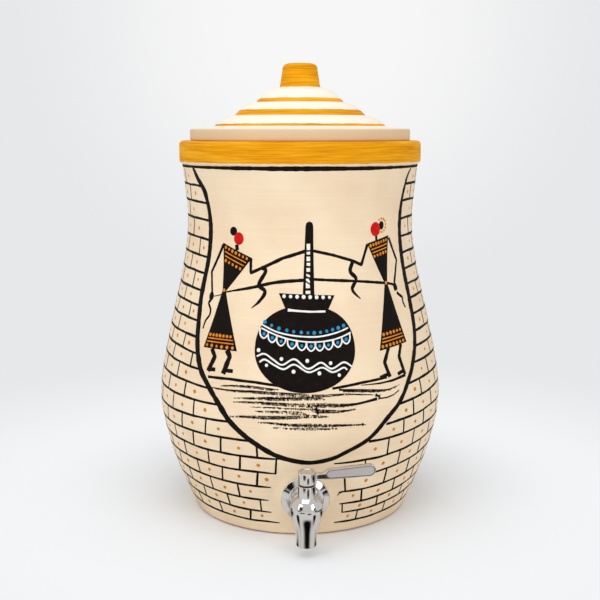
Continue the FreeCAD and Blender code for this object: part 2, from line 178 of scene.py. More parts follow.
def mottled(tree, size, detail=3.0):
    """Even noise with blotches of about this many millimetres."""
    return streaked(tree, size, size, detail)


def two_tone(tree, by, span, first, second, most=1.0, way="LINEAR"):
    """Colour that passes from the first tone to the second while a value crosses a span."""
    share = add(tree, "MapRange", {0: by, 1: span[0], 2: span[1], 3: 0.0, 4: most}, interpolation_type=way)
    return add(tree, "Mix", {0: share, 6: first, 7: second}, data_type="RGBA").outputs[2]


def coated(tree, under, label, coat):
    """Colour under a coat that lies where the mesh's attribute says so."""
    share = add(tree, "Attribute", attribute_name=label).outputs["Fac"]
    return add(tree, "Mix", {0: share, 6: under, 7: coat}, data_type="RGBA").outputs[2]


def worked(tree, shader, colour=None, rough=None, relief=None):
    """Link a colour, a roughness as (noise, span, range) and a relief as (noise, strength, millimetres)."""
    if colour:
        feed(tree, shader, {"Base Color": colour})
    if rough:
        by, span, (low, high) = rough
        follows = add(tree, "MapRange", {0: by, 1: span[0], 2: span[1], 3: low, 4: high})
        feed(tree, shader, {"Roughness": follows})
    if relief:
        by, strength, depth = relief
        bump = add(tree, "Bump", {"Strength": strength, "Distance": depth * MM, "Height": by})
        feed(tree, shader, {"Normal": bump})


def slipped_clay():
    """Earthenware brushed with cream slip, with a band of mustard paint where the mesh says so.

    The eye sees an eggshell surface with faint level brush lines, warmer blotches where the clay shows
    through, whiter colour on the lid's steps as painted light from above, darker colour round its flat
    edge as painted shade on that upright side, and opaque mustard paint with darker and lighter
    streaks and a wavering edge.
    """
    made, tree, shader = finish("cream slip on earthenware", ior=1.5)
    brush = streaked(tree, 70, 1.5)
    cream = two_tone(tree, mottled(tree, 45), (0.35, 0.7), "#F0DABA", "#E9CEAC")
    brushed = two_tone(tree, brush, (0.45, 0.8), cream, "#F6E6CB", most=0.3)
    # Painted light: the lid's upward tiers are whitened, as if bright overhead light falls on them.
    whitened = coated(tree, brushed, "painted_top_light", "#F8F1E0")
    # Painted shade: the upright edge of the lid's disc is darkened where it turns away from the light.
    slip_colour = coated(tree, whitened, "painted_edge_shade", "#DCC29E")
    gold = two_tone(tree, streaked(tree, 35, 0.9, 5.0), (0.3, 0.72), "#CB7A07", "#F4AC1A")
    mustard = two_tone(tree, streaked(tree, 70, 7), (0.46, 0.76), gold, "#FABB34", most=0.75)
    band = add(tree, "Attribute", attribute_name="band").outputs["Fac"]
    edge = add(tree, "Math", {0: mottled(tree, 9, 2.0), 1: 1.1, 2: band}, operation="MULTIPLY_ADD")
    colour = two_tone(tree, edge, (0.5, 0.68), slip_colour, mustard)
    sheen = add(tree, "MapRange", {0: edge, 1: 0.5, 2: 0.68, 3: 0.28, 4: 0.02})
    feed(tree, shader, {"Specular IOR Level": sheen})
    grain = add(tree, "Math", {0: mottled(tree, 1.6), 1: 0.4, 2: brush}, operation="MULTIPLY_ADD")
    worked(tree, shader, colour, (brush, (0.2, 0.8), (0.46, 0.62)), (grain, 0.35, 0.12))
    return made


def bare_clay():
    """Unglazed fired earthenware: dull brick red, sandy, with level throwing lines."""
    made, tree, shader = finish("bare terracotta", roughness=0.9, ior=1.5)
    sand = mottled(tree, 1.2)
    body = two_tone(tree, mottled(tree, 25), (0.3, 0.7), "#A9603F", "#BE7450")
    colour = two_tone(tree, sand, (0.55, 0.75), body, "#D39A78", most=0.4)
    grain = add(tree, "Math", {0: sand, 1: 0.3, 2: streaked(tree, 90, 3.5)}, operation="MULTIPLY_ADD")
    worked(tree, shader, colour, relief=(grain, 0.6, 0.4))
    return made


def brushed_paint(name, thick, thin, gloss=0.5, sheen=0.1):
    """Acrylic craft paint laid on by brush: opaque where thick, a little lighter where it runs thin."""
    made, tree, shader = finish(name, ior=1.48, specular_ior_level=sheen)
    load = mottled(tree, 5)
    ridges = mottled(tree, 0.8)
    colour = two_tone(tree, load, (0.4, 0.75), thick, thin)
    worked(tree, shader, colour, (load, (0.2, 0.8), (gloss - 0.08, gloss + 0.1)), (ridges, 0.3, 0.05))
    return made


def polished_plate():
    """Nickel-chrome plate on a polished casting: a clean mirror with very faint wipe marks."""
    made, tree, shader = finish("polished nickel-chrome plate", metallic=1.0, base_color="#CFCBC6")
    worked(tree, shader, rough=(mottled(tree, 6), (0.3, 0.7), (0.04, 0.09)))
    return made


def satin_plate():
    """Fine-blasted plate on the lever's sunk panel: even grey with a soft, short grain, drawn coarser
    than the blasting so that it shows."""
    made, tree, shader = finish("satin plated panel", metallic=1.0)
    grain = mottled(tree, 0.35)
    colour = two_tone(tree, grain, (0, 1), "#BDB6B3", "#D0C9C5")
    worked(tree, shader, colour, (grain, (0.3, 0.7), (0.38, 0.5)), (grain, 0.4, 0.02))
    return made


def turned_metal(name, light, dark, *rough):
    """Lathe-turned metal: fine tool marks that break up the highlight, and a faint tarnish."""
    made, tree, shader = finish(name, metallic=1.0)
    marks = mottled(tree, 0.5)
    worked(tree, shader, two_tone(tree, mottled(tree, 4), (0, 1), light, dark), (marks, (0.3, 0.7), rough))
    return made


def moulded(name, light, dark, *rough):
    """Moulded rubber or plastic: nearly even colour, a soft sheen and a slightly grained skin."""
    made, tree, shader = finish(name, ior=1.5)
    skin = mottled(tree, 0.7)
    colour = two_tone(tree, mottled(tree, 5), (0, 1), light, dark)
    worked(tree, shader, colour, (skin, (0.3, 0.7), rough), (skin, 0.3, 0.03))
    return made


slip = slipped_clay()
terracotta = bare_clay()
black_paint = brushed_paint("black acrylic", "#0F0907", "#1A120E", 0.62, 0.08)
orange_paint = brushed_paint("orange acrylic", "#D97C1A", "#E69A3A", 0.55)
brick_dot_paint = brushed_paint("burnt orange acrylic", "#C4791A", "#D4913A", 0.55)
red_paint = brushed_paint("red acrylic", "#C40C0B", "#D21E16")
blue_paint = brushed_paint("sky blue acrylic", "#1E86B6", "#3F9FCB")
white_paint = brushed_paint("white acrylic", "#F4F2EE", "#E9E6E0")
ivory_paint = brushed_paint("ivory acrylic", "#F7F2E4", "#EEE6D2", 0.55)
plate = polished_plate()
satin = satin_plate()
# Painted shade: a dark colour laid in the lever's engraved line, where the groove falls into shade.
shadow_line = moulded("painted shade in an engraved line", "#2A2420", "#3A322C", 0.5, 0.65)
# Painted shade: the gland nut's brass is darkened to stand for the shade in the groove between hub and
# neck.
brass_darkened_as_shade = turned_metal("brass darkened as painted shade", "#5A4A34", "#3C3024", 0.35, 0.5)
brass = turned_metal("turned brass", "#D9BC78", "#B8934C", 0.22, 0.35)
steel = turned_metal("plain stainless steel", "#C9C8C6", "#ADABA8", 0.28, 0.4)
rubber = moulded("black nitrile rubber", "#1B1B1C", "#262627", 0.5, 0.65)
ptfe = moulded("white slippery plastic", "#EDECE8", "#E2E0DA", 0.3, 0.4)


# Outlines: points of (radius, height) or of (x, y)

def natural_curve(points, value):
    """Radius of a smooth curve through (radius, height) stations at a height."""
    radii, heights = zip(*points)
    inner = range(1, len(points) - 1)
    gaps = [b - a for a, b in zip(heights, heights[1:])]
    slopes = [(b - a) / gap for a, b, gap in zip(radii, radii[1:], gaps)]
    bends = [0.0] * len(points)
    lower = list(bends)
    right = list(bends)
    for i in inner:
        pivot = 2 * (gaps[i - 1] + gaps[i]) - gaps[i - 1] * lower[i - 1]
        lower[i] = gaps[i] / pivot
        right[i] = (6 * (slopes[i] - slopes[i - 1]) - gaps[i - 1] * right[i - 1]) / pivot
    for i in reversed(inner):
        bends[i] = right[i] - lower[i] * bends[i + 1]
    i = min(len(gaps) - 1, sum(1 for h in heights[1:] if h < value))
    step = value - heights[i]
    start = slopes[i] - gaps[i] * (2 * bends[i] + bends[i + 1]) / 6
    return (radii[i] + step * start + step ** 2 * bends[i] / 2
            + step ** 3 * (bends[i + 1] - bends[i]) / (6 * gaps[i]))


def wall_radius(height):
    """Outside radius of the pot's wall."""
    return natural_curve(wall_stations, height)


def softened(points, steps=4):
    """Outline with rounded corners: a point is (radius, height) or (radius, height, corner size)."""
    flat = [Vector(p[:2]) for p in points]
    rows = []
    for i, point in enumerate(points):
        if len(point) == 2 or i in (0, len(points) - 1):
            rows.append(tuple(flat[i]))
            continue
        back = flat[i - 1] - flat[i]
        ahead = flat[i + 1] - flat[i]
        start = flat[i] + back.normalized() * min(point[2], back.length * 0.45)
        end = flat[i] + ahead.normalized() * min(point[2], ahead.length * 0.45)
        for k in range(steps + 1):
            t = k / steps
            rows.append(tuple(start * (1 - t) ** 2 + flat[i] * 2 * t * (1 - t) + end * t ** 2))
    return rows


def arched(start, end, crown=0.0, count=6):
    """Points of a low arc from start to end that bulges outwards by crown, without the start."""
    a, b = Vector(start), Vector(end)
    out = Vector((b.y - a.y, a.x - b.x)).normalized()
    shares = [k / count for k in range(1, count + 1)]
    return [tuple(a.lerp(b, t) + out * crown * 4 * t * (1 - t)) for t in shares]


def arc(centre, radius, turns):
    """Points round a centre at these turns in degrees."""
    return [(centre[0] + radius * math.cos(math.radians(a)), centre[1] + radius * math.sin(math.radians(a)))
            for a in turns]


def oval(x, y, half_width, half_height, count=20):
    """Outline of an oval."""
    turns = [2 * math.pi * k / count for k in range(count)]
    return [(x + half_width * math.cos(turn), y + half_height * math.sin(turn)) for turn in turns]


def through(points, count=8):
    """Smooth line through points, as a hand would draw it."""
    padded = [Vector(p) for p in (points[0], *points, points[-1])]
    line = [tuple(points[0])]
    for a, b, c, d in zip(padded, padded[1:], padded[2:], padded[3:]):
        for k in range(1, count + 1):
            t = k / count
            spot = (2 * b + (c - a) * t + (2 * a - 5 * b + 4 * c - d) * t ** 2
                    + (3 * b - a - 3 * c + d) * t ** 3)
            line.append(tuple(0.5 * spot))
    return line


def level_at(line, x):
    """Height of a line drawn from left to right, at x."""
    for a, b in zip(line, line[1:]):
        if a[0] <= x <= b[0]:
            return a[1] + (b[1] - a[1]) * (x - a[0]) / (b[0] - a[0])
    return line[0][1] if x < line[0][0] else line[-1][1]


def enlarged(outline, share):
    """Outline made larger about its middle."""
    middle = sum((Vector(p) for p in outline), Vector((0, 0))) / len(outline)
    return [tuple(middle + (Vector(p) - middle) * share) for p in outline]


# Meshes

def turned(rows, segments, move=None, uneven=None):
    """Mesh turned about Z from an outline of (radius, height) rows; a row on the axis is a pole."""
    made = bmesh.new()
    rings = []
    for radius, height in rows:
        ring = []
        for k in range(segments if radius > 1e-6 else 1):
            angle = 2 * math.pi * k / segments
            grown = (radius + (uneven(radius, angle, height) if uneven else 0)) * MM
            ring.append(made.verts.new((grown * math.sin(angle), -grown * math.cos(angle), height * MM)))
        rings.append(ring)
    pairs = list(zip(rings, rings[1:]))
    if len(rings[0]) > 1 and len(rings[-1]) > 1:
        pairs.append((rings[-1], rings[0]))
    for low, high in pairs:
        for k in range(segments):
            spots = ((low, k), (low, k + 1), (high, k + 1), (high, k))
            corners = list(dict.fromkeys(ring[at % len(ring)] for ring, at in spots))
            if len(corners) > 2:
                made.faces.new(corners)
    if move:
        made.transform(move)
    bmesh.ops.recalc_face_normals(made, faces=made.faces)
    return made


def as_mesh(made, name, crisp=False):
    """Plain smooth mesh from a bmesh; a crisp one keeps the edges between its faces sharp."""
    mesh = bpy.data.meshes.new(name)
    made.to_mesh(mesh)
    made.free()
    mesh.shade_smooth()
    if crisp:
        mesh.set_sharp_from_angle(angle=crisp_edge)
    return mesh


def new_piece(name, made, *materials, crisp=False):
    """An object at the origin from a mesh or a bmesh, with its materials."""
    mesh = made if isinstance(made, bpy.types.Mesh) else as_mesh(made, name, crisp)
    piece = bpy.data.objects.new(name, mesh)
    bpy.context.scene.collection.objects.link(piece)
    for material in materials:
        mesh.materials.append(material)
    return piece


def joined(name, parts):
    """One crisp mesh from several closed shells."""
    whole = bmesh.new()
    for part in parts:
        mesh = as_mesh(part, name)
        whole.from_mesh(mesh)
        bpy.data.meshes.remove(mesh)
    return as_mesh(whole, name, crisp=True)


def store(mesh, label, values):
    """Keep a number with each point of a mesh."""
    mesh.attributes.new(label, "FLOAT", "POINT").data.foreach_set("value", values)


def within(low, value, high):
    """The value, kept between low and high."""
    return max(low, min(high, value))


def from_axis(place):
    """Distance of a place from the pot's axis in millimetres."""
    return math.hypot(place.x, place.y) / MM


def mark_band(mesh, reach_inside):
    """Store on each point how many millimetres it lies inside the mustard band; negative is outside."""
    reaches = [reach_inside(from_axis(v.co), v.co.z / MM) for v in mesh.vertices]
    store(mesh, "band", [within(-6.0, reach, 6.0) for reach in reaches])


def settled(piece):
    """Turn a piece's modifiers into plain mesh and remove them."""
    graph = bpy.context.evaluated_depsgraph_get()
    mesh = bpy.data.meshes.new_from_object(piece.evaluated_get(graph), depsgraph=graph)
    piece.modifiers.clear()
    old = piece.data
    piece.data = mesh
    bpy.data.meshes.remove(old)
    return piece


tap_frame = Matrix.Translation((0, -seat_distance * MM, tap_height * MM)) @ Matrix.Rotation(
    math.radians(tap_lean), 4, "X")
valve_frame = tap_frame @ Matrix.Translation((0, -valve_reach * MM, 0))
inlet_frame = tap_frame @ Matrix.Rotation(math.radians(90), 4, "X")


# Pot

def uneven_wall(radius, angle, height):
    """How far a thrown wall wanders from a true round, fading out at foot and rim."""
    if not foot_edge < height < neck_height or radius < wall_radius(height) - 1:
        return 0.0
    fade = min(1.0, (height - foot_edge) / 15, (neck_height - height) / 12)
    broad = noise.noise(Vector((1.3 * math.cos(angle), 1.3 * math.sin(angle), height / 34)))
    rings = noise.noise(Vector((0.3 * math.cos(angle), 0.3 * math.sin(angle), height / 5.5)))
    return fade * (thrown_unevenness * broad + ring_unevenness * rings)


def pot_rows():
    """Outline of the pot from the middle of its foot up over the rim and down to the floor inside."""
    rows = [(0, 0), (40, 0), (80, 0), (foot_radius, 0)]
    rows += arc((foot_radius, foot_edge), foot_edge, range(-75, 1, 15))
    steps = 145
    for k in range(1, steps + 1):
        height = foot_edge + k * (neck_height - foot_edge) / steps
        rows.append((wall_radius(height), height))
    rows += softened([(neck_radius, neck_height), (neck_radius, rim_bottom, 0.8),
                      (rim_radius, rim_bottom, 3.2), (rim_radius, rim_face[0])], 8)[1:]
    rows += arched((rim_radius, rim_face[0]), (rim_radius, rim_face[1]), 0.1, 3)
    rows += softened([(rim_radius, rim_face[1]), (rim_radius, rim_top, 4.4), (rim_flat[0], rim_top)], 8)[1:]
    rows += [(rim_flat[0] - 1, rim_top), (rim_flat[1], rim_top)]
    rows += softened([(rim_flat[1], rim_top), (mouth_radius, rim_top, 2.4), (mouth_radius, mouth_edge)])[1:]
    rows += arched((mouth_radius, mouth_edge), (mouth_radius, throat_bottom), count=3)
    heights = [neck_height - k * 9 for k in range(27)] + [70 - k * 3 for k in range(16)]
    rows += [(wall_radius(h) - wall, h) for h in heights]
    side = wall_radius(22) - wall
    rows += softened([(wall_radius(25) - wall, 25), (side, 22), (side, base_thickness, floor_corner),
                      (side - 18, base_thickness)], 8)[1:]
    return rows + [(60, base_thickness), (30, base_thickness), (0, base_thickness)]


def seat_the_tap(made):
    """Work the clay flat round the tap's hole, outside and inside."""
    inward = tap_frame.inverted()
    for vertex in made.verts:
        local = inward @ vertex.co
        reach = math.hypot(local.x, local.z) / MM
        if reach > seat_radius + seat_spread or abs(local.y) > 30 * MM:
            continue
        outside = from_axis(vertex.co) > wall_radius(vertex.co.z / MM) - wall / 2
        target = 0.0 if outside else seat_thickness * MM
        share = 0.5 + 0.5 * math.cos(math.pi * max(0.0, reach - seat_radius) / seat_spread)
        local.y += (target - local.y) * share
        vertex.co = tap_frame @ local


def throw_pot():
    """The pot: slip outside, bare clay inside and under the foot, with the hole for the tap."""
    made = turned(pot_rows(), 320, uneven=uneven_wall)
    seat_the_tap(made)
    piece = new_piece("thrown_pot", made, slip, terracotta)
    for face in piece.data.polygons:
        radius = from_axis(face.center)
        height = face.center.z / MM
        inside = height < rim_top - 1 and radius < wall_radius(min(height, neck_height)) - wall / 2
        face.material_index = int(inside or height < bare_foot or radius < mouth_radius + 1)
    drill = turned([(0, -30), (wall_hole, -30), (wall_hole, 12), (0, 12)], 64, inlet_frame)
    hole = new_piece("hole_cutter", drill, terracotta)
    cut = piece.modifiers.new("tap hole", "BOOLEAN")
    cut.operation = "DIFFERENCE"
    cut.object = hole
    cut.solver = "EXACT"
    settled(piece)
    bpy.data.objects.remove(hole)
    mark_band(piece.data, lambda radius, height: min(height - mustard_bottom, radius - mustard_inner))
    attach(piece, "pot")
    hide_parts("pot_body")
    return piece


# Lid

def lid_rows():
    """Outline of the lid from the axis under the knob, out to the edge, up the tiers and over the knob."""
    ring_low = rim_top - lid_ring_depth
    ring_inside = lid_ring_radius - lid_ring_wall
    edge_top = rim_top + lid_edge
    rows = [(0, lid_hollow[0][1])]
    for a, b in zip(lid_hollow, lid_hollow[1:]):
        rows += arched(a, b, count=3)
    rows += softened([(76, 335.0), (ring_inside, rim_top, 3), (ring_inside, ring_low, 1.5),
                      (lid_ring_radius, ring_low, 1.5), (lid_ring_radius, rim_top, 0.8),
                      (lid_radius, rim_top, 1.9), (lid_radius, edge_top, 1.9),
                      (lid_shoulder, edge_top + 1.0)], 6)
    feet = [riser[:2] for riser in lid_risers] + [knob_foot]
    starts = [(radius + 0.5, height - 0.1) for radius, height in feet]
    rows += arched((lid_shoulder, edge_top + 1.0), starts[0], count=4)
    for i, (low_radius, low, high_radius, high) in enumerate(lid_risers):
        top = (high_radius - 0.9, high + 0.35)
        rows += softened([starts[i], (low_radius, low, 0.4), (high_radius, high, 0.7), top])[1:]
        rows += arched(top, starts[i + 1], tier_crowns[i], 12)
    rows += softened([starts[-1], (*knob_foot, 0.6), (16.6, 385), knob_neck], 8)[1:]
    rows += arc((knob_neck[0] - knob_corner, knob_top - knob_corner), knob_corner, range(0, 91, 10))
    return rows + [(6, knob_top), (3, knob_top), (0, knob_top)]


def lid_band(radius, height):
    """Millimetres inside the nearest gold riser or the knob; negative outside."""
    if height < rim_top + lid_edge:
        return -6.0
    best = height - knob_foot[1] if radius < 19 else -6.0
    for low_radius, low, high_radius, high in lid_risers:
        best = max(best, min(height - low + 0.45, high - height + 0.45,
                             low_radius + 1.4 - radius, radius - high_radius + 1.4))
    return best


def throw_lid():
    """The lid, painted on its three risers and its knob, bare clay underneath."""
    piece = new_piece("thrown_lid", turned(lid_rows(), 256), slip, terracotta)
    mesh = piece.data
    for face in mesh.polygons:
        reach = from_axis(face.center)
        height = face.center.z / MM
        under = face.normal.z < -0.3 or height < rim_top - 0.5
        face.material_index = int(under and reach < lid_ring_radius + 1 or reach < 82 and height < 340)
    mark_band(mesh, lid_band)
    above = [v.co.z / MM - rim_top - lid_edge for v in mesh.vertices]
    # Painted light: points above the top of the lid's disc get the whiter colour.
    store(mesh, "painted_top_light", [within(0.0, 0.6 + height / 1.5, 1.0) for height in above])
    # Painted shade: points down the disc's upright edge get the darker colour.
    store(mesh, "painted_edge_shade", [within(0.0, -height, 1.0) for height in above])
    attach(piece, "lid")
    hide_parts("lid")


# Painting on the wall. A node tree wraps what is laid out flat onto the thrown wall, so that the
# paint follows every unevenness of the clay.

paint_sockets = {"Wall": "Object", "Reference Radius": "Float", "Lift": "Float", "Thickness": "Float",
                 "Material": "Material"}


def new_tree(name, **own):
    """Geometry node tree with the inputs that all paint has, its own ones, and a geometry output."""
    tree = bpy.data.node_groups.new(name, "GeometryNodeTree")
    for label, kind in {"Geometry": "Geometry", **paint_sockets, **own}.items():
        tree.interface.new_socket(label, in_out="INPUT", socket_type="NodeSocket" + kind)
    tree.interface.new_socket("Geometry", in_out="OUTPUT", socket_type="NodeSocketGeometry")
    return tree, add(tree, "NodeGroupInput").outputs, add(tree, "NodeGroupOutput")


def wrap_tree():
    """Flat X, Y, Z becomes an angle round the pot, a height, and a distance out from the clay."""
    ray_start = -0.2
    ray_length = 0.2
    tree, given, result = new_tree("wrap onto the wall")
    parts = add(tree, "SeparateXYZ", {0: add(tree, "GeometryNodeInputPosition")}).outputs
    angle = add(tree, "Math", {0: parts[0], 1: given["Reference Radius"]}, operation="DIVIDE")
    sine = add(tree, "Math", {0: angle}, operation="SINE")
    cosine = add(tree, "Math", {0: angle}, operation="COSINE")
    left = add(tree, "Math", {0: sine, 1: -1.0}, operation="MULTIPLY")
    inward = add(tree, "CombineXYZ", {0: left, 1: cosine})
    outside = add(tree, "VectorMath", {0: inward, 3: ray_start}, operation="SCALE")
    level = add(tree, "CombineXYZ", {2: parts[1]})
    source = add(tree, "VectorMath", {0: outside, 1: level}, operation="ADD")
    clay = add(tree, "GeometryNodeObjectInfo", {"Object": given["Wall"]}, transform_space="RELATIVE")
    ray = add(tree, "GeometryNodeRaycast", {
        "Target Geometry": clay.outputs["Geometry"], "Source Position": source, "Ray Direction": inward,
        "Ray Length": ray_length}).outputs
    capped = add(tree, "Clamp", {"Value": parts[2], "Min": -paint_root * MM, "Max": given["Thickness"]})
    height = add(tree, "Math", {0: capped, 1: given["Lift"]}, operation="ADD")
    raised = add(tree, "VectorMath", {0: ray["Hit Normal"], 3: height}, operation="SCALE")
    landed = add(tree, "VectorMath", {0: ray["Hit Position"], 1: raised}, operation="ADD")
    moved = add(tree, "GeometryNodeSetPosition", {"Geometry": given["Geometry"], "Position": landed})
    smooth = add(tree, "GeometryNodeSetShadeSmooth", {"Geometry": moved})
    coloured = add(tree, "GeometryNodeSetMaterial", {"Geometry": smooth, "Material": given["Material"]})
    feed(tree, result, {0: coloured})
    return tree


def wrapped(tree, given, geometry):
    """The wrapping group inside another tree, fed with that tree's own inputs, and made real."""
    sizes = {label: given[label] for label in paint_sockets}
    laid = add(tree, "GeometryNodeGroup", node_tree=wrap)
    feed(tree, laid, {"Geometry": geometry, **sizes})
    return add(tree, "GeometryNodeRealizeInstances", {"Geometry": laid})


def stroke_tree():
    """Brush strokes: edges laid out flat, their own half widths, a wavering hand and paths that can be
    rounded.
    """
    tree, given, result = new_tree("brush strokes", Rounded="Bool", Spacing="Float", Waver="Float",
                                   Seed="Float")
    line = add(tree, "GeometryNodeMeshToCurve", {"Mesh": given["Geometry"]})
    curved = add(tree, "GeometryNodeCurveSplineType", {"Curve": line}, spline_type="CATMULL_ROM")
    chosen = add(tree, "GeometryNodeSwitch", {"Switch": given["Rounded"], "False": line, "True": curved},
                 input_type="GEOMETRY")
    even = add(tree, "GeometryNodeResampleCurve", {"Curve": chosen, "Length": given["Spacing"]},
               mode="LENGTH")
    drift = add(tree, "TexNoise", {"Scale": 28.0, "Detail": 1.0, "W": given["Seed"]},
                noise_dimensions="4D").outputs[1]
    centred = add(tree, "VectorMath", {0: drift, 1: (0.5, 0.5, 0.5)}, operation="SUBTRACT")
    level = add(tree, "VectorMath", {0: centred, 1: (1, 1, 0)}, operation="MULTIPLY")
    shift = add(tree, "VectorMath", {0: level, 3: given["Waver"]}, operation="SCALE")
    moved = add(tree, "GeometryNodeSetPosition", {"Geometry": even, "Offset": shift})
    upright = add(tree, "GeometryNodeSetCurveNormal", {"Curve": moved}, mode="Z_UP")
    own = add(tree, "GeometryNodeInputNamedAttribute", {"Name": "half_width"}, data_type="FLOAT")
    pressure = add(tree, "TexNoise", {"Scale": 190.0, "Detail": 2.0, "W": given["Seed"]},
                   noise_dimensions="4D")
    press = add(tree, "MapRange", {0: pressure, 1: 0.25, 2: 0.75, 3: 0.82, 4: 1.18})
    width = add(tree, "Math", {0: own, 1: press}, operation="MULTIPLY")
    tip = add(tree, "GeometryNodeCurvePrimitiveCircle", {"Resolution": 8, "Radius": 1.0})
    body = add(tree, "GeometryNodeCurveToMesh", {"Curve": upright, "Profile Curve": tip, "Scale": width,
                                                 "Fill Caps": True})
    feed(tree, result, {0: wrapped(tree, given, body)})
    return tree


def dot_tree():
    """Dots of paint: a low dome at each point, sized by the point's own half width and half height."""
    tree, given, result = new_tree("dots of paint", Seed="Int")
    dome = add(tree, "GeometryNodeMeshUVSphere", {"Segments": 12, "Rings": 4, "Radius": 1.0})
    wide = add(tree, "GeometryNodeInputNamedAttribute", {"Name": "half_width"}, data_type="FLOAT")
    tall = add(tree, "GeometryNodeInputNamedAttribute", {"Name": "half_height"}, data_type="FLOAT")
    vary = add(tree, "FunctionNodeRandomValue", {2: 0.86, 3: 1.14, "Seed": given["Seed"]},
               data_type="FLOAT")
    size = add(tree, "CombineXYZ", {0: wide, 1: tall, 2: 0.4 * MM})
    scale = add(tree, "VectorMath", {0: size, 3: vary.outputs[1]}, operation="SCALE")
    placed = add(tree, "GeometryNodeInstanceOnPoints", {"Points": given["Geometry"], "Instance": dome,
                                                        "Scale": scale})
    solid = add(tree, "GeometryNodeRealizeInstances", {"Geometry": placed})
    feed(tree, result, {0: wrapped(tree, given, solid)})
    return tree


def shape_tree():
    """Filled shapes: flat closed slabs wrapped onto the wall."""
    tree, given, result = new_tree("filled shapes")
    feed(tree, result, {0: wrapped(tree, given, given["Geometry"])})
    return tree


def strokes_mesh(name, strokes):
    """Flat edges with half widths, from strokes of (points, half widths)."""
    mesh = bpy.data.meshes.new(name)
    places, edges, widths = [], [], []
    for points, half_widths in strokes:
        if not isinstance(half_widths, (list, tuple)):
            half_widths = [half_widths] * len(points)
        first = len(places)
        places += [(x * MM, y * MM, 0) for x, y in points]
        widths += [half * MM for half in half_widths]
        edges += [(first + k, first + k + 1) for k in range(len(points) - 1)]
    mesh.from_pydata(places, edges, [])
    store(mesh, "half_width", widths)
    return mesh


def dots_mesh(name, dots):
    """Loose points with half width and half height, from dots of (x, y, half width, half height)."""
    mesh = bpy.data.meshes.new(name)
    mesh.from_pydata([(dot[0] * MM, dot[1] * MM, 0) for dot in dots], [], [])
    for column, label in enumerate(("half_width", "half_height"), 2):
        store(mesh, label, [dot[column] * MM for dot in dots])
    return mesh


def shapes_mesh(name, outlines, step=2.0):
    """Flat slabs filled with small triangles, so that they can bend round the wall."""
    made = bmesh.new()
    for outline in outlines:
        edge = []
        for a, b in zip(outline, outline[1:] + outline[:1]):
            count = max(1, math.ceil((Vector(b) - Vector(a)).length / step))
            edge += [Vector(a).lerp(Vector(b), k / count) for k in range(count)]
        xs, ys = zip(*edge)
        columns, rows = (int((max(side) - min(side)) / step) for side in (xs, ys))
        inner = [Vector((min(xs) + (i + 0.5) * step, min(ys) + (j + 0.5) * step))
                 for i in range(columns) for j in range(rows)]
        inner = [p for p in inner if min((p - q).length for q in edge) > step * 0.55]
        border = [(k, (k + 1) % len(edge)) for k in range(len(edge))]
        points, _, faces = delaunay_2d_cdt(edge + inner, border, [list(range(len(edge)))], 1, 1e-6)[:3]
        top = [made.verts.new((p.x * MM, p.y * MM, paint_thickness * MM)) for p in points]
        for face in faces:
            made.faces.new([top[k] for k in face])
    made.normal_update()
    for face in made.faces:
        if face.normal.z < 0:
            face.normal_flip()
    grown = bmesh.ops.extrude_face_region(made, geom=made.faces[:], use_keep_orig=True)
    for item in grown["geom"]:
        if isinstance(item, bmesh.types.BMVert):
            item.co.z = -paint_root * MM
    bmesh.ops.recalc_face_normals(made, faces=made.faces)
    return as_mesh(made, name)


def small_shapes_mesh(name, outlines):
    """Slabs of a few millimetres, filled with smaller triangles."""
    return shapes_mesh(name, outlines, 1.2)


def painted(name, kind, marks, paint, seed=0, rounded=False, **sizes):
    """Lay marks onto the pot with a kind of (mesh maker, tree) and keep them as a plain piece of paint."""
    make_flat, tree = kind
    piece = new_piece(name, make_flat(name, marks))
    laid = piece.modifiers.new("paint", "NODES")
    laid.node_group = tree
    sizes = {"Reference Radius": paint_radius, "Lift": 0.0, "Thickness": paint_thickness, **sizes}
    given = {"Wall": pot, "Material": paint, "Seed": seed, "Rounded": rounded,
             **{label: size * MM for label, size in sizes.items()}}
    for item in tree.interface.items_tree:
        if item.in_out == "INPUT" and item.name in given:
            laid[item.identifier] = given[item.name]
    settled(piece)
    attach(piece, "pot")


# The arched panel's border, from its upper left end down round the bottom to its upper right end
panel_border = [
    (-124.5, 308.5), (-118, 300), (-108, 290), (-104, 280), (-101.7, 270), (-100.4, 255), (-101, 235),
    (-103, 215), (-103.5, 198), (-101.4, 180), (-97.5, 162), (-90, 143.8), (-79.7, 131.5), (-69, 119),
    (-58.3, 105.2), (-44.5, 92.9), (-30.5, 83.2), (-20, 77.8), (-7, 74), (5, 72.7), (20, 75.4), (31, 80.3),
    (49, 89.7), (66, 106), (78, 116.8), (90, 132.2), (97.5, 142.4), (107, 160), (112, 178), (112.6, 200),
    (111.4, 220), (111, 240), (111.2, 262), (113, 280), (119.2, 300), (126, 307.5)]
# Half the width of the border's stroke at each of those points
border_half = [2.2, 2.9, 3.1, 3.1, 3.1, 3.3, 3.3, 3.3, 3.2, 3.0, 2.9, 2.6, 2.4, 2.4, 2.4, 2.3, 2.3, 2.2,
               2.1, 2.0, 1.9, 1.8, 2.0, 2.1, 2.1, 2.3, 2.5, 2.8, 3.2, 3.5, 3.6, 3.6, 3.4, 2.9, 2.0, 0.9]
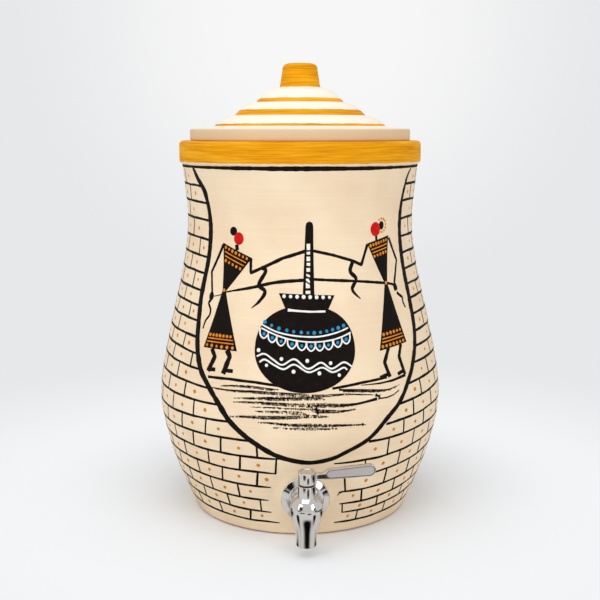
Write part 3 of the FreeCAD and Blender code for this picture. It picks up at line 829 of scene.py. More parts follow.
# Brick courses from the foot up: height of the line under the bricks at the left side, left front,
# right front and right side, then the joints that show left and right of the tap and of the panel
courses = [
    ((13.5, 12, 11, 13), (-118, -86, -52), (51.5, 84.5, 117)),
    ((25.5, 22.8, 21, 25), (-102, -72, -39.5), (34.4, 71, 104)),
    ((37.5, 35, 30.5, 36), (-117, -87, -58), (51, 87, 117)),
    ((50, 48.3, 43, 49), (-129, -98.5, -71, -39), (33, 72, 100.5)),
    ((62.5, 62, 57.5, 62.7), (-112.5, -82.5, -52.3, -22.8), (49, 83.4, 112.6)),
    ((76, 75.6, 71, 76.5), (-124, -97, -67.8, -37), (68.5, 98, 125.5)),
    ((88.5, 90, 87.3, 90), (-136, -109.5, -81), (83, 110.3)),
    ((102, 104.3, 100, 104), (-123, -93.6), (94, 123.3)),
    ((117, 117, 113.5, 118.5), (-134, -106), (105.6, 137)),
    ((131, 128.6, 128, 132.3), (-120,), (122.6,)),
    ((144.5, 141, 143.5, 146), (-134.8, -102.3), (136.4,)),
    ((157, 152.5, 156, 158.5), (-117.8,), (150.5,)),
    ((169.5, 165.5, 168, 171), (-135,), (135.2,)),
    ((182.5, 178.5, 182, 185), (-118.4,), (150.5,)),
    ((195, 191.5, 195, 198.5), (-134.6,), (135.8,)),
    ((207.5, 204, 208, 210.5), (-121.2,), (150.5,)),
    ((222, 218, 220.5, 223.5), (-133.6,), (135.8,)),
    ((235.5, 231.5, 234, 237), (-118.4,), (150,)),
    ((250, 246, 248, 251), (-134.8,), (134,)),
    ((266, 262, 264, 266), (-147,), (149.5,)),
    ((280.5, 277, 280, 281), (-138.7,), (134.5,)),
    ((294, 291, 294.5, 295), (-152,), (151,)),
]
# Where the lowest courses stop left and right of the tap
tap_gap = [(-24, 29), (-30.5, 34.4), (-31.5, 31), (-28, 29), (-22.8, 32), (-19, 22)]
brick_length = 29.8
course_half = 1.1
joint_half = 0.92
brick_dot = (1.5, 1.55)
round_wall = 2 * math.pi * paint_radius


def course_height(index, x):
    """Height of a course's line at x, counted from the front to the right and on round the back."""
    if index == len(courses):
        return 307.0
    left, left_front, right_front, right = courses[index][0]
    return level_at([(60, right_front), (125, right), (round_wall / 2, (left + right) / 2 + 1.2),
                     (round_wall - 125, left), (round_wall - 60, left_front)], x)


def panel_reach(height):
    """Left and right end of the panel at a height."""
    line = through(panel_border)
    sides = [a[0] + (b[0] - a[0]) * (height - a[1]) / (b[1] - a[1]) for a, b in zip(line, line[1:])
             if min(a[1], b[1]) <= height <= max(a[1], b[1]) and a[1] != b[1]]
    return min(sides), max(sides)


def panel_bottom(x):
    """Height of the panel's lower border at x, or far above it outside the panel."""
    x = x - round_wall if x > round_wall / 2 else x
    lower = [p for p in panel_border if p[1] < 175]
    return level_at(lower, x) if lower[0][0] < x < lower[-1][0] else 400.0


def course_span(index, height):
    """Right start and left end of a course, going round the back."""
    left, right = tap_gap[index] if index < len(tap_gap) else panel_reach(height)
    return right, round_wall + left


def brickwork():
    """Course lines, joints and the dot in each brick, from the foot up to the rim."""
    lines = [([(32, 43), (29.3, 42), (27.8, 39.3)], [1.05, 0.85, 0.3])]
    joints = []
    dots = [(-31, 55.7, 1.5, 1.6)]
    for index, (heights, left_joints, right_joints) in enumerate(courses):
        start, end = course_span(index, heights[0 if index > 8 else 1])
        count = int((end - start) / 13)
        points = []
        for k in range(count + 1):
            x = start + (end - start) * k / count
            points.append((x, course_height(index, x) + hand.uniform(-0.25, 0.25)))
        widths = [course_half + hand.uniform(-0.14, 0.16) for _ in points]
        if index < len(tap_gap):
            widths[0] = widths[-1] = 0.6
        lines.append((points, widths))
        middle = (course_height(index, 125) + course_height(index + 1, 125)) / 2
        start, end = course_span(index, middle)
        first, last = right_joints[-1], round_wall + left_joints[0]
        between = round((last - first) / brick_length)
        spots = list(right_joints)
        spots += [first + (last - first) * k / between + hand.uniform(-1.6, 1.6) for k in range(1, between)]
        spots += [round_wall + x for x in left_joints]
        for x in spots:
            low, high = course_height(index, x), min(course_height(index + 1, x), panel_bottom(x))
            lean = hand.uniform(-0.7, 0.7) + (0.7 if x > round_wall / 2 else -0.7)
            half = joint_half + hand.uniform(-0.13, 0.14)
            joint = [(x - lean, low), (x, (low + high) / 2), (x + lean, high)]
            joints.append((joint, [half, half, half * 0.9]))
        middles = [(a + b) / 2 + hand.uniform(-1.0, 1.0) for a, b in zip(spots, spots[1:])]
        for joint, edge in ((spots[0], start), (spots[-1], end)):
            if abs(joint - edge) > 12:
                middles.append(joint + math.copysign(min(0.42 * abs(edge - joint), 12.5), edge - joint))
        for x in middles:
            y = (course_height(index, x) + course_height(index + 1, x)) / 2 + hand.uniform(-0.6, 0.6)
            dots.append((x, y, *brick_dot))
    return lines, joints, [dot for dot in dots if dot[1] < panel_bottom(dot[0]) - 5]


def trimmed(wide_left, wide_right, tip, depths, counts):
    """Orange trim along the wide end of a garment: dots, two lines, dots."""
    a, b, c = Vector(wide_left), Vector(wide_right), Vector(tip)
    length = ((a + b) / 2 - c).length
    dots, lines = [], []
    for row, depth in enumerate(depths):
        share = depth / length
        left, right = a.lerp(c, share), b.lerp(c, share)
        if row in (1, 2):
            lines.append(([tuple(left.lerp(right, 0.05)), tuple(left.lerp(right, 0.95))], [0.55, 0.5]))
            continue
        count = counts[row // 3]
        for k in range(count):
            spot = left.lerp(right, 0.09 + 0.8 * k / (count - 1))
            dots.append((spot.x, spot.y, 1.4, 1.45))
    return lines, dots


def wet_line(*points, half, end=None):
    """One loaded stroke; the brush may lift towards its end."""
    last = half if end is None else end
    return list(points), [half + (last - half) * k / (len(points) - 1) for k in range(len(points))]


def dry_stroke(points, halves, wet):
    """Marks of a nearly dry brush that skips over the clay: slanting ticks a millimetre apart, fewer
    where the paint runs out, with a few long hairs among them."""
    line = through(points, 12)
    travelled = [0.0]
    for a, b in zip(line, line[1:]):
        travelled.append(travelled[-1] + (Vector(b) - Vector(a)).length)
    rows = [(distance, x) for distance, (x, _) in zip(travelled, line)]
    marks = []
    at = 0.4
    while at < travelled[-1]:
        share = at / travelled[-1]
        half = level_at(list(zip((0, 0.5, 1), halves)), share)
        x = level_at(rows, at)
        y = level_at(line, x)
        fade = min(1.0, 5 * share + 0.35, 4 * (1 - share) + 0.35)
        pieces = max(1, round(half / 0.6))
        for k in range(pieces):
            if hand.random() < wet * fade:
                top = y + half - 2 * half * k / pieces - hand.uniform(0, 0.25)
                tall = 2 * half / pieces * hand.uniform(0.75, 1.15)
                thick = hand.uniform(0.32, 0.5)
                marks.append(([(x, top), (x + 0.28 * tall, top - tall)], [thick, thick * 0.8]))
        at += hand.uniform(0.7, 0.98)
    for _ in range(max(2, round(4 * max(halves)))):
        side = hand.uniform(-0.85, 0.85)
        k = hand.randrange(len(line) // 4)
        while k < len(line) - 3:
            run = hand.randint(2, 6)
            if hand.random() < wet * 0.8:
                share = k / len(line)
                half = halves[0] + (halves[-1] - halves[0]) * share
                dash = [(x, y + side * half) for x, y in line[k:k + run + 1]]
                if len(dash) > 1:
                    marks.append((dash, [0.12] + [hand.uniform(0.2, 0.36)] * (len(dash) - 2) + [0.12]))
            k += run + hand.randint(0, 2)
    return marks


def left_dancer():
    """Stick-and-triangle figure on the left, in the manner of village wall painting."""
    black = [
        wet_line((-81.5, 246.5), (-94, 223), (-89.2, 205), half=1.5, end=1.2),
        wet_line((-50.3, 236.8), (-49.6, 224.9), (-35.2, 231), (-20, 237.6), (0.4, 243.3), half=1.42),
        wet_line((-80.2, 161.5), (-76, 155.5), (-81.2, 143), half=2.1),
        wet_line((-81.5, 144.6), (-74, 145.2), half=1.55),
        wet_line((-64.8, 162), (-61.6, 157.3), (-66.3, 142.8), half=2.15),
        wet_line((-66.5, 145.6), (-57.6, 145.9), half=1.6),
        wet_line((-66, 247), (-65, 242.5), half=2.0),
    ]
    flowing = [
        wet_line((-89.3, 200), (-92, 197.4), (-88.6, 192.5), (-88.9, 187.5), (-92.6, 182.5), (-94.2, 176),
                 half=1.3, end=0.85),
        ([(-40, 229.6), (-35.3, 227), (-41, 216.1), (-35, 210.7), (-39.1, 203.2), (-46.4, 196.8)],
         [1.5, 1.75, 1.7, 1.7, 1.35, 0.3]),
        ([(-87.6, 203.2), (-78.5, 205.4), (-73, 208), (-47.6, 213.3), (-24.3, 218.4), (0.4, 220.3)],
         [0.4, 0.45, 0.6, 1.3, 1.4, 1.4]),
    ]
    shapes = [[(-81.8, 247.8), (-49.2, 237), (-74, 208), (-77, 208)],
              [(-77, 210), (-74, 210), (-55.6, 162), (-89.5, 161.4)],
              oval(-69.9, 257.9, 4.0, 3.7), oval(-89.6, 203.2, 2.8, 3.6)]
    head = [oval(-63.8, 252.1, 5.3, 5.2)]
    torso = trimmed((-81.5, 247.5), (-49.5, 237), (-75.5, 208), (2.3, 5.6, 8.8, 12.3), (7, 5))
    skirt = trimmed((-89.5, 161.5), (-55.6, 162), (-75.5, 210), (2.2, 5.4, 8.1, 10.9), (6, 7))
    waist = (-75.5, 209.3, 1.4, 1.5)
    return black, flowing, shapes, head, torso[0] + skirt[0], torso[1] + skirt[1] + [waist]


def right_dancer():
    """The second figure, on the right, pulling the other end of the ropes."""
    black = [
        wet_line((91, 250.9), (100.4, 231.6), (92, 213), half=1.5, end=1.3),
        wet_line((91.4, 213), (93.4, 206.8), half=2.6),
        wet_line((62.3, 247), (54.2, 230.8), (45.2, 234.6), (26.4, 239.8), (8, 243.6), half=1.45, end=1.2),
        wet_line((72.3, 162), (66.4, 150.8), (70.2, 138.5), half=1.7),
        wet_line((60.4, 139.3), (70, 141.3), half=1.5),
        wet_line((87, 163), (82.7, 153.5), (86.9, 137.8), half=1.7),
        wet_line((78.6, 139.4), (86.3, 141.4), half=1.5),
        wet_line((73.4, 254.5), (73.7, 249), half=1.5),
    ]
    flowing = [
        wet_line((93.6, 205), (97, 202.3), (100.6, 200), (100.3, 196.6), (102.8, 191.2), half=1.5, end=1.0),
        ([(45.6, 234.3), (42.2, 226.3), (47.6, 219.8), (43, 211.5), (50.2, 203.7)],
         [1.8, 1.8, 1.7, 1.5, 0.5]),
        wet_line((7.9, 220.8), (47.8, 218), (80.6, 214), (91, 211.6), half=1.2),
    ]
    shapes = [[(62.1, 247.8), (90.3, 253), (82, 213.5), (79.2, 213.5)],
              [(79.2, 215), (82, 215), (95, 163.7), (63, 160.6)],
              oval(80.4, 261.8, 3.2, 3.5)]
    head = [oval(72.6, 259, 6.0, 5.9)]
    torso = trimmed((62.3, 247.6), (90, 252.7), (80.6, 213.5), (2.6, 6.0, 8.8, 12.0), (7, 5))
    skirt = trimmed((63.1, 160.8), (94.9, 163.5), (80.6, 215), (2.4, 5.8, 8.4, 11.8), (7, 6))
    ring = [(80.4 + 6.2 * math.cos(math.radians(a)), 261.9 + 5.6 * math.sin(math.radians(a)), 1.1, 1.05)
            for a in range(-110, 150, 29)]
    waist = (80.6, 214.2, 1.4, 1.5)
    return black, flowing, shapes, head, torso[0] + skirt[0], torso[1] + skirt[1] + ring + [waist]


def painted_churn():
    """The black churning pot between the figures, with its staff and its white and blue ornament."""
    body = []
    for cosine, sine in oval(0, 0, 1, 1, 64):
        power = 2 / 2.3 if sine > 0 else 1.0
        half_height = 34.0 if sine > 0 else 34.5
        body.append((40.5 * math.copysign(abs(cosine) ** power, cosine),
                     166 + half_height * math.copysign(abs(sine) ** power, sine)))
    shapes = [body, [(-22.6, 209.9), (25.9, 207.8), (18.3, 194), (-15, 194.5)],
              [(0.9, 263.5), (1.6, 266), (4.3, 267.3), (7, 266.3), (8, 263.5), (8.2, 208), (-1.8, 208.5)]]
    upper = through([(-35.9, 184.7), (-23.6, 179.5), (-11.1, 176.8), (2.4, 175.6), (13.5, 175.9),
                     (26.4, 178.4), (35.9, 181.5)])
    lower = through([(-36.3, 182), (-23.5, 176.8), (-11.1, 173.4), (4.2, 171.5), (18.4, 172.2),
                     (29.3, 174.6), (37.9, 177.7)])
    white = [(upper, 0.65), (lower, 0.65),
             ([(-14.4, 196.7), (-5, 195.9), (4.6, 195.3), (17.2, 195.3)], [1.2, 0.85, 0.8, 0.85])]
    blue = [(x, level_at(upper, x) + 3.2, 1.5, 1.55)
            for x in (-33.4, -27.6, -21.4, -14.9, -9.3, -3.2, 2.2, 7.3, 12.4, 17.6, 22.6, 27.4, 32.2)]
    for x in (-33.6, -26.5, -19.3, -10.6, -2.8, 4.6, 11.4, 18.6, 26.2, 33.4):
        top = level_at(lower, x)
        start, end = ((x + side, level_at(lower, x + side) - 0.3) for side in (-3.6, 3.6))
        scallop = [start, (x - 3.1, top - 4.2), (x, top - 7.0), (x + 3.1, top - 4.2), end]
        white.append((through(scallop, 4), 0.65))
        blue.append((x, top - 3.4, 1.42, 1.55))
    waves = [through([(-38.3, 159.5), (-32.1, 161.7), (-25, 157.5), (-17.9, 153.6), (-8.5, 158.2),
                      (1.8, 150.7), (11.9, 155.3), (20.1, 150.2), (29.9, 154.7), (36.3, 151)]),
             through([(-35.8, 155), (-31.6, 157.3), (-24, 153.2), (-16.6, 150.3), (-8.5, 154), (2.3, 148),
                      (12.7, 151.4), (20.9, 147.4), (29.6, 150.5), (32.4, 148.5)])]
    white += [(wave, 0.75) for wave in waves]
    spots = [(-17.9 + 5.6 * k, 207.5 - 0.17 * k, 1.6, 1.6) for k in range(8)]
    spots += [(x, y, 1.48, 1.6) for x, y in (
        (-37.2, 164.4), (-18.6, 158.3), (1.4, 156.9), (19.5, 154.6), (-30.1, 152.8), (-9.1, 148.5),
        (10.5, 146.9), (25.9, 144.8))]
    patches = [
        [(1.9, 249), (5.0, 249.2), (5.0, 244.4), (2.0, 244.4)],
        [(1.9, 242.7), (4.9, 243), (4.9, 240.6), (1.9, 240.8)],
        [(1.8, 238.9), (4.9, 238.9), (4.9, 235.5), (1.8, 235.5)],
        [(1.8, 234), (4.9, 234), (4.9, 231.5), (1.8, 231.8)],
        [(1.6, 229.8), (4.8, 229.8), (4.7, 226.9), (1.7, 227)],
        [(1.3, 225.2), (4.5, 224.3), (4.5, 222.4), (1.6, 223.4)],
        [(1.1, 221.4), (3.2, 221.3), (4.4, 219.6), (4.3, 217.8), (1.2, 219.8)],
        [(1.0, 218.4), (2.2, 217.6), (4.4, 216.4), (4.4, 214), (1.0, 214)],
        [(0.8, 211.8), (4.6, 211.8), (4.7, 209.4), (0.8, 209.4)]]
    return shapes, white, spots, blue, [enlarged(patch, 1.06) for patch in patches]


def ground_marks():
    """The ground line under the feet and the dry brushing below it."""
    wet = [wet_line((-80.5, 138.5), (-60, 139.4), (-38, 138.9), (-16.2, 136.8), half=1.25, end=1.1),
           wet_line((20, 134.6), (44.3, 137.3), (67, 138.8), half=1.15),
           wet_line((43, 135.3), (60, 134.8), half=0.35, end=0.7),
           wet_line((60, 134.8), (72, 135.3), (87.1, 137.4), half=0.7, end=1.3)]
    dry = []
    for points, halves, wetness in (
            ([(-68, 132.8), (-55, 134.5), (-40, 134.9), (-20, 133.6)], (0.4, 1.2, 1.0), 0.9),
            ([(-77, 130.4), (-60, 130.3), (-40, 131.2), (-20, 131), (0, 130)], (0.6, 1.3, 1.3), 0.95),
            ([(0, 129.4), (15, 129.2), (30, 129.4), (42, 128), (54, 126.2)], (1.3, 0.9, 0.3), 0.9),
            ([(-55, 124.6), (-40, 126), (-20, 127.1), (0, 127.6), (14, 127.2)], (0.4, 1.8, 1.5), 0.88),
            ([(-58, 121), (-45, 122.4), (-30, 122.9), (-12, 122.4), (0, 122)], (0.4, 1.4, 1.5), 0.88),
            ([(0, 121.9), (12, 121.6), (24, 120.9), (36, 120.6), (46, 121.6)], (1.9, 1.6, 0.9), 0.9),
            ([(-42, 118.8), (-25, 119.6), (-10, 119.1), (6, 118.6)], (0.4, 0.8, 0.8), 0.85),
            ([(-38, 115.6), (-20, 116.2), (0, 115.6)], (0.6, 1.3, 1.5), 0.58),
            ([(-58, 109), (-50, 110.1), (-40, 110.7), (-25, 111.4), (-10, 112.2), (2, 113)],
             (0.6, 1.7, 1.4), 0.97),
            ([(-38, 106.6), (-25, 106.7), (-10, 105.7), (6, 105.2), (24, 104.4), (42, 103.2)],
             (0.5, 1.8, 0.7), 0.86),
            ([(-24, 103), (-10, 102.7), (6, 102.2), (24, 101.8)], (0.5, 1.1, 0.6), 0.66),
            ([(4, 117.8), (14, 116.6), (26, 115.9), (38, 116.6)], (1.9, 1.4, 0.3), 0.97),
            ([(0, 113.4), (9, 112.6), (17, 112.2)], (1.6, 1.3, 0.6), 0.8),
            ([(25, 132.6), (40, 131.2), (56, 129.3), (68, 128.6), (79, 130.6)], (1.2, 1.4, 0.4), 0.97)):
        dry += dry_stroke(points, halves, wetness)
    wet += [wet_line((25, 133.3), (40, 132), (50, 130.9), half=0.85, end=0.4),
            wet_line((-72, 130.1), (-55, 130.6), (-38, 131.2), half=0.35, end=0.6),
            wet_line((26, 119.9), (42, 121), (56, 122.8), half=0.7, end=1.2),
            wet_line((57, 122.8), (65, 122.4), (72, 123.6), (78, 126.4), half=0.75, end=0.45),
            wet_line((55, 126.6), (56.6, 125), (59, 123.8), half=1.2, end=0.5),
            wet_line((54.6, 125.2), (59.6, 125.4), half=0.8, end=0.3),
            wet_line((7.0, 119.6), (8.6, 116.8), (8.8, 114.2), half=1.3, end=0.8),
            wet_line((40, 103.2), (43, 103.2), (46, 102.5), half=0.5, end=0.3),
            wet_line((43, 104.3), (43.6, 102), half=0.9, end=0.6)]
    return wet, dry

def paint_the_pot():
    """Everything that is painted on the wall, a piece for each colour and kind of mark."""
    strokes, dots = (strokes_mesh, stroke_tree()), (dots_mesh, dot_tree())
    shapes = (shapes_mesh, shape_tree())
    small_shapes = (small_shapes_mesh, shapes[1])
    over = paint_thickness - 0.02
    lines, joints, brick_dots = brickwork()
    left, right = left_dancer(), right_dancer()
    limbs, flowing, filled, heads, trim_lines, trim_dots = [a + b for a, b in zip(left, right)]
    churn_shapes, white_lines, white_dots, blue_dots, staff_patches = painted_churn()
    wet, dry = ground_marks()
    rim_line = ([(-round_wall / 2 + round_wall * k / 48, 309.3) for k in range(49)],
                [2.0 - 0.8 * min(1.0, abs(k - 24) / 7) + 0.1 * math.sin(k * 2.3) for k in range(49)])
    border = [(panel_border, border_half), rim_line]
    painted("brick_courses", strokes, lines, black_paint, 1.0, True, Spacing=2.6, Waver=0.8)
    painted("brick_joints", strokes, joints, black_paint, 2.0, True, Spacing=2.6, Waver=0.5)
    painted("brick_dots", dots, brick_dots, brick_dot_paint, 3)
    painted("panel_border", strokes, border, black_paint, 4.0, True, Spacing=1.5, Waver=0.6)
    painted("limbs", strokes, limbs + wet, black_paint, 5.0, Spacing=1.0, Waver=0.3)
    painted("ropes", strokes, flowing, black_paint, 6.0, True, Spacing=1.0, Waver=0.3)
    painted("dry_brushing", strokes, dry, black_paint, 7.0, True, Spacing=2.0, Waver=0.5, Thickness=0.06)
    painted("black_shapes", shapes, filled + churn_shapes, black_paint)
    painted("staff_patches", small_shapes, staff_patches, ivory_paint, Lift=over)
    painted("red_heads", shapes, heads, red_paint, Lift=0.04)
    painted("orange_lines", strokes, trim_lines, orange_paint, 8.0, Spacing=1.2, Waver=0.3, Lift=over)
    painted("orange_dots", dots, trim_dots, orange_paint, 9, Lift=over)
    painted("white_lines", strokes, white_lines, white_paint, 10.0, Spacing=0.8, Waver=0.2, Lift=over)
    painted("white_dots", dots, white_dots, white_paint, 11, Lift=over)
    painted("blue_dots", dots, blue_dots, blue_paint, 12, Lift=over)


# Tap

def tap_body():
    """The plated casting: egg-shaped body and spout, valve neck, branch with its root ring, and inlet."""
    handles = (spout_radius, -26.6), (spout_radius, -12), (body_radius, -6), (body_radius, body_middle)
    egg = [tuple(p) for p in interpolate_bezier(*(Vector(p) for p in handles), 30)]
    dome = arc((0, body_middle), body_radius, range(5, 90, 5))
    bore = softened([(0, -10.1), (3.4, -10.1, 0.4), (3.4, -14, 0.4), (6.4, -14, 0.6), (6.4, -27.5, 0.5),
                     (spout_radius, -27.5, 0.6), egg[0]])
    body = turned(bore + egg[1:] + dome + [(0, body_middle + body_radius)], 96, valve_frame)
    neck = turned(softened([(0, 12), (7.3, 12), (7.3, 15.6), (7.3, 25.4, 0.35), (6.05, 25.4, 0.25),
                            (6.05, 22), (0, 22)]), 96, valve_frame)
    branch = turned(softened([(0, 22), (branch_radius, 22, 0.2), (branch_radius, 6.5, 0.3),
                              (13.3, 6.2, 0.5), (13.3, 4.2, 0.35), (8, 4.2, 0.2), (8, -28.2, 0.6),
                              (7, -29, 0.4), (4, -29, 0.4), (4, 10), (0, 10)]), 96, inlet_frame)
    piece = new_piece("cast_tap", joined("cast_tap", [body, neck, branch]), plate)
    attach(piece, "pot")
    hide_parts("tap_body")


def flange():
    """Dished cover ring against the wall, with a rolled edge."""
    rows = softened([(8.3, 3.4), (8.3, 3.0, 0.1), (14.3, 3.0, 0.6), (19.4, 0.4, 0.5), (20, 0.7, 0.3),
                     (20, 1.3, 0.35), (19.3, 1.75, 0.35), (14.9, 4.2, 0.5), (8.3, 4.2, 0.1), (8.3, 3.5)])
    piece = new_piece("dished_flange", turned(rows, 128, inlet_frame), plate, crisp=True)
    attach(piece, "pot")
    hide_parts("wall_flange")


def blade_outline(inset):
    """Side view of the lever's arm, drawn in by inset all round."""
    shoulder = lever_floor + 5.6
    top = lever_floor + 8.6
    handles = (11.5, shoulder), (15, shoulder), (15, top), (18.5, top)
    swell = interpolate_bezier(*(Vector(p) for p in handles), 14)
    end = arc((lever_length - lever_end, lever_floor + lever_end), lever_end, range(90, -91, -9))
    path = [Vector(p[:2]) for p in [(5.6, lever_floor), (5.6, shoulder), *swell, *end]]
    dense = []
    for a, b in zip(path, path[1:] + path[:1]):
        count = max(1, round((b - a).length / 1.5))
        dense += [a.lerp(b, k / count) for k in range(count)]
    drawn = []
    for k, point in enumerate(dense):
        ahead = (dense[(k + 1) % len(dense)] - point).normalized()
        behind = (point - dense[k - 1]).normalized()
        along = (ahead + behind).normalized()
        drawn.append(point + Vector((along.y, -along.x)) * inset / max(0.5, along.dot(ahead)))
    return drawn


def lever():
    """Hub and arm in one; the arm's front has a satin panel inside an engraved line."""
    arm = bmesh.new()
    rings = []
    half = lever_thickness / 2
    # How far each ring of the arm is drawn in, its depth, and what lies before it: plate, satin, or
    # the dark painted shade in the engraved line
    steps = ((0.5, half, 0), (0.15, half - 0.15, 0), (0, half - 0.5, 0), (0, 0.5 - half, 0),
             (0.15, 0.15 - half, 0), (0.5, -half, 0), (0.85, -half, 0), (0.95, panel_depth - half, 2),
             (1.35, panel_depth - half, 2), (1.45, 0.1 - half, 1))
    for inset, y, kind in steps:
        ring = []
        for x, z in blade_outline(inset):
            if inset > 0.6:
                tall = min(1.0, abs(z - panel_middle) / (panel_half - inset))
                x = max(x, panel_start + (inset - 0.85) + 2.4 * tall ** 1.6)
            ring.append(arm.verts.new((x * MM, y * MM, z * MM)))
        rings.append((ring, kind))
    for (low, _), (high, kind) in zip(rings, rings[1:]):
        for k in range(len(low)):
            after = (k + 1) % len(low)
            arm.faces.new((low[k], low[after], high[after], high[k])).material_index = kind
    arm.faces.new(rings[0][0])
    arm.faces.new(rings[-1][0]).material_index = 1
    bmesh.ops.recalc_face_normals(arm, faces=arm.faces)
    arm.transform(valve_frame @ Matrix.Rotation(math.radians(lever_back_turn), 4, "Z"))
    hub = turned(softened([(1.6, 32.5), (1.6, 33.0, 0.1), (hub_well, 33.0, 0.1), (hub_well, hub_top, 0.35),
                           (hub_radius, hub_top, 0.8), (hub_radius, hub_bottom, 0.35),
                           (3.6, hub_bottom, 0.2), (3.6, 31.9, 0.1), (1.6, 31.9, 0.1),
                           (1.6, 32.4)]), 96, valve_frame)
    piece = new_piece("lever_handle", joined("lever_handle", [arm, hub]), plate, satin, shadow_line)
    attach(piece, "lever")
    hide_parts("lever")


def hub_cover():
    """Pressed cover over the screw, with a groove round its edge and a dimple in its middle."""
    rows = softened([(0, 35.7), (0.6, 35.7, 0.2), (1.5, 36.2, 0.4), (4.2, 36.2, 0.2), (4.5, 35.9, 0.2),
                     (4.8, 36.2, 0.15), (5.18, 36.2, 0.15), (5.18, 33.0, 0.1), (0, 33.0)])
    piece = new_piece("hub_cover", turned(rows, 96, valve_frame), plate, crisp=True)
    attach(piece, "lever")
    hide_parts("cap_plug")


def finish_inner_pieces():
    """The tap's working parts keep their made shapes and get finishes; the gland's dark brass is painted
    shade.
    """
    finishes = ((brass, "valve_core", "lock_nut"), (brass_darkened_as_shade, "gland_nut"), (ptfe, "thrust_washer"),
                (steel, "clamp_washer", "stop_pin", "lever_screw", "spring_washer"),
                (rubber, "outer_gasket", "inner_gasket", "core_o_rings", "stem_o_ring", "inlet_seal"))
    for material, *names in finishes:
        for name in names:
            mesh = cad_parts[name].data
            if not mesh.materials:
                mesh.materials.append(material)
            for k in range(len(mesh.materials)):
                mesh.materials[k] = material


# Studio

def area_lamp(name, place, aim, size, power):
    """White soft box at a place, pointed at a spot; places in metres."""
    data = bpy.data.lights.new(name, "AREA")
    data.shape = "RECTANGLE"
    data.size, data.size_y = size
    data.energy = power
    lamp = bpy.data.objects.new(name, data)
    bpy.context.scene.collection.objects.link(lamp)
    lamp.location = place
    lamp.rotation_euler = (Vector(aim) - Vector(place)).to_track_quat("-Z", "Y").to_euler()


def soft_card(name, place, shade):
    """Matt card with faded edges that only shows in the polished metal, as a photographer's flag does.
    The place is a function of two shares, across the card and along it."""
    count = 12
    corners = count + 1
    shares = [(i / count, k / count) for i in range(corners) for k in range(corners)]
    quads = [(at, at + 1, at + corners + 1, at + corners)
             for at in (i * corners + k for i in range(count) for k in range(count))]
    mesh = bpy.data.meshes.new(name)
    mesh.from_pydata([tuple(c * MM for c in place(*share)) for share in shares], [], quads)
    store(mesh, "cover", [min(1.0, 1.5 * math.sin(math.pi * wide) * math.sin(math.pi * long)) ** 1.5
                          for wide, long in shares])
    card = new_piece(name, mesh, shade)
    for ray in ("camera", "diffuse", "shadow", "transmission"):
        setattr(card, "visible_" + ray, False)


def before_spout(turn, distance, height):
    """Place at a turn in degrees from straight ahead, and at a distance from the spout's axis."""
    angle = math.radians(turn)
    return distance * math.sin(angle), -seat_distance - valve_reach - distance * math.cos(angle), height


def between(pair, share):
    """Value at a share of the way from one to the other."""
    return pair[0] + (pair[1] - pair[0]) * share


def placed_card(name, turns, reach, heights, shade):
    """Card between two turns, two distances from the spout and two heights; a floor card lies flat."""
    soft_card(name, lambda wide, long: before_spout(
        between(turns, wide), between(reach, long), between(heights, long)), shade)


def card_finish(name, shade):
    """Matt card stock that fades out where its mesh says so."""
    made, tree, shader = finish(name, base_color=shade, roughness=0.95, specular_ior_level=0.0)
    cover = add(tree, "Attribute", attribute_name="cover").outputs["Fac"]
    clear = add(tree, "BsdfTransparent")
    faded = add(tree, "MixShader", {0: cover, 1: clear, 2: shader})
    feed(tree, tree.nodes["Material Output"], {"Surface": faded})
    return made


def straight_rays(tree):
    """One for a ray that comes from the camera, or by a mirror or glass, and nothing for the others."""
    path = add(tree, "LightPath").outputs
    direct = add(tree, "Math", {0: path["Is Camera Ray"], 1: path["Is Glossy Ray"]}, operation="MAXIMUM")
    return add(tree, "Math", {0: direct, 1: path["Is Transmission Ray"]},
               operation="MAXIMUM")


def fading(tree, far, span, rays, near_shader, far_shader):
    """For these rays, one shader that passes softly into another as the distance crosses a span."""
    fade = add(tree, "MapRange", {0: far, 1: span[0], 2: span[1], 3: 0.0, 4: 1.0},
               interpolation_type="SMOOTHSTEP")
    share = add(tree, "Math", {0: fade, 1: rays}, operation="MULTIPLY")
    return add(tree, "MixShader", {0: share, 1: near_shader, 2: far_shader})


def backdrop():
    """World of even light whose seen side is a pale backdrop, a little darker away from its middle."""
    world = bpy.data.worlds.new("pale studio")
    bpy.context.scene.world = world
    world.use_nodes = True
    tree = world.node_tree
    room = tree.nodes["Background"]
    room.inputs["Color"].default_value = linear("#FFFFFF")
    room.inputs["Strength"].default_value = room_light
    way = add(tree, "TexCoord").outputs["Generated"]
    off = add(tree, "VectorMath", {0: way, 1: backdrop_centre}, operation="DISTANCE").outputs["Value"]
    pale = two_tone(tree, off, (0.06, 0.3), "#F7F7F7", "#E7E8EA", way="SMOOTHSTEP")
    seen = add(tree, "Background", {"Color": pale, "Strength": 1.0})
    mixed = add(tree, "MixShader", {0: straight_rays(tree), 1: room, 2: seen})
    feed(tree, tree.nodes["World Output"], {"Surface": mixed})


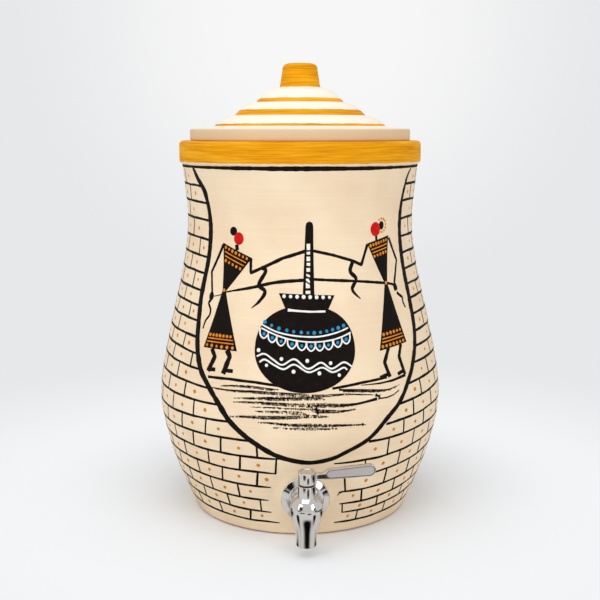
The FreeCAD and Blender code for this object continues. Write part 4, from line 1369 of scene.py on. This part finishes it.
def studio_floor():
    """Pale matt floor that holds the pot's shadow, turns as pale as the backdrop and gives way to it."""
    made, tree, shader = finish("pale studio floor", roughness=0.85, ior=1.45, specular_ior_level=0.1)
    worked(tree, shader, two_tone(tree, mottled(tree, 400), (0, 1), "#F1F4F8", "#F4F7FA"))
    place = add(tree, "TexCoord").outputs["Object"]
    far = add(tree, "VectorMath", {0: place}, operation="LENGTH").outputs["Value"]
    rays = straight_rays(tree)
    pale = two_tone(tree, far, (0.13, 0.62), "#F8F9FA", "#E7E8EA", way="SMOOTHSTEP")
    glow = add(tree, "Emission", {"Color": pale, "Strength": 1.0})
    run_out = fading(tree, far, (0.07, 0.32), rays, shader, glow)
    clear = add(tree, "BsdfTransparent")
    gone = fading(tree, far, (0.9, 2.4), rays, run_out, clear)
    feed(tree, tree.nodes["Material Output"], {"Surface": gone})
    disc = turned([(0, 0), (1500, 0), (6000, 0), (6000, -5), (0, -5)], 64)
    new_piece("studio_floor", disc, made)


def studio():
    """Backdrop and floor, soft boxes above and on both sides, and cards for the polished metal."""
    backdrop()
    studio_floor()
    area_lamp("overhead box", (-0.15, -0.5, 1.3), (0, 0, 0.22), (1.1, 1.0), overhead_power)
    area_lamp("front left box", (-1.05, -1.0, 0.55), (0, 0, 0.18), (0.7, 0.9), left_power)
    area_lamp("front right box", (1.0, -1.1, 0.55), (0, 0, 0.18), (0.6, 0.9), right_power)

    black_card = card_finish("matt black card", "#120D09")
    brown_card = card_finish("dark brown card", "#44372A")
    for name, turns, reach, shade in (
            ("front card", (-42, 50), (5, 52), black_card),
            ("left low card", (-152, -86), (3, 36), black_card),
            ("right low card", (86, 152), (3, 36), black_card),
            ("left high card", (-152, -96), (60, 134), black_card),
            ("right high card", (96, 152), (60, 134), black_card),
            ("left curve card", (-80, -50), (20, 92), black_card),
            ("right curve card", (40, 68), (24, 92), black_card),
            ("lever root card", (-2, 34), (84, 150), brown_card),
            ("neck right card", (62, 134), (108, 215), black_card),
            ("neck left card", (-156, -104), (108, 215), black_card),
            ("neck middle card", (-54, -8), (112, 205), brown_card),
            ("right wedge card", (50, 80), (100, 470), black_card),
            ("left wedge card", (-70, -36), (220, 800), black_card)):
        placed_card(name, turns, reach, (0.7, 0.7), shade)
    placed_card("right wedge screen", (44, 66), (800, 800), (-60, 260), brown_card)
    placed_card("left wedge screen", (-60, -26), (800, 800), (-60, 480), black_card)


def camera():
    """Camera of the photograph: a little left of the tap, looking slightly down; places in metres."""
    distance, height, pitch, side = 0.9, 0.3385, 9.6, 2.1
    focal_pixels, frame_pixels = 996, 600
    data = bpy.data.cameras.new("camera")
    data.sensor_width = 36
    data.lens = data.sensor_width * focal_pixels / frame_pixels
    data.clip_start = 0.05
    made = bpy.data.objects.new("camera", data)
    bpy.context.scene.collection.objects.link(made)
    turn = math.radians(side)
    made.location = (-distance * math.sin(turn), -distance * math.cos(turn), height)
    made.rotation_euler = (math.radians(90 - pitch), 0, -turn)
    bpy.context.scene.camera = made


bpy.context.scene.view_settings.view_transform = "Standard"
camera()
studio()
pot = throw_pot()
throw_lid()
wrap = wrap_tree()
paint_the_pot()
tap_body()
flange()
lever()
hub_cover()
finish_inner_pieces()
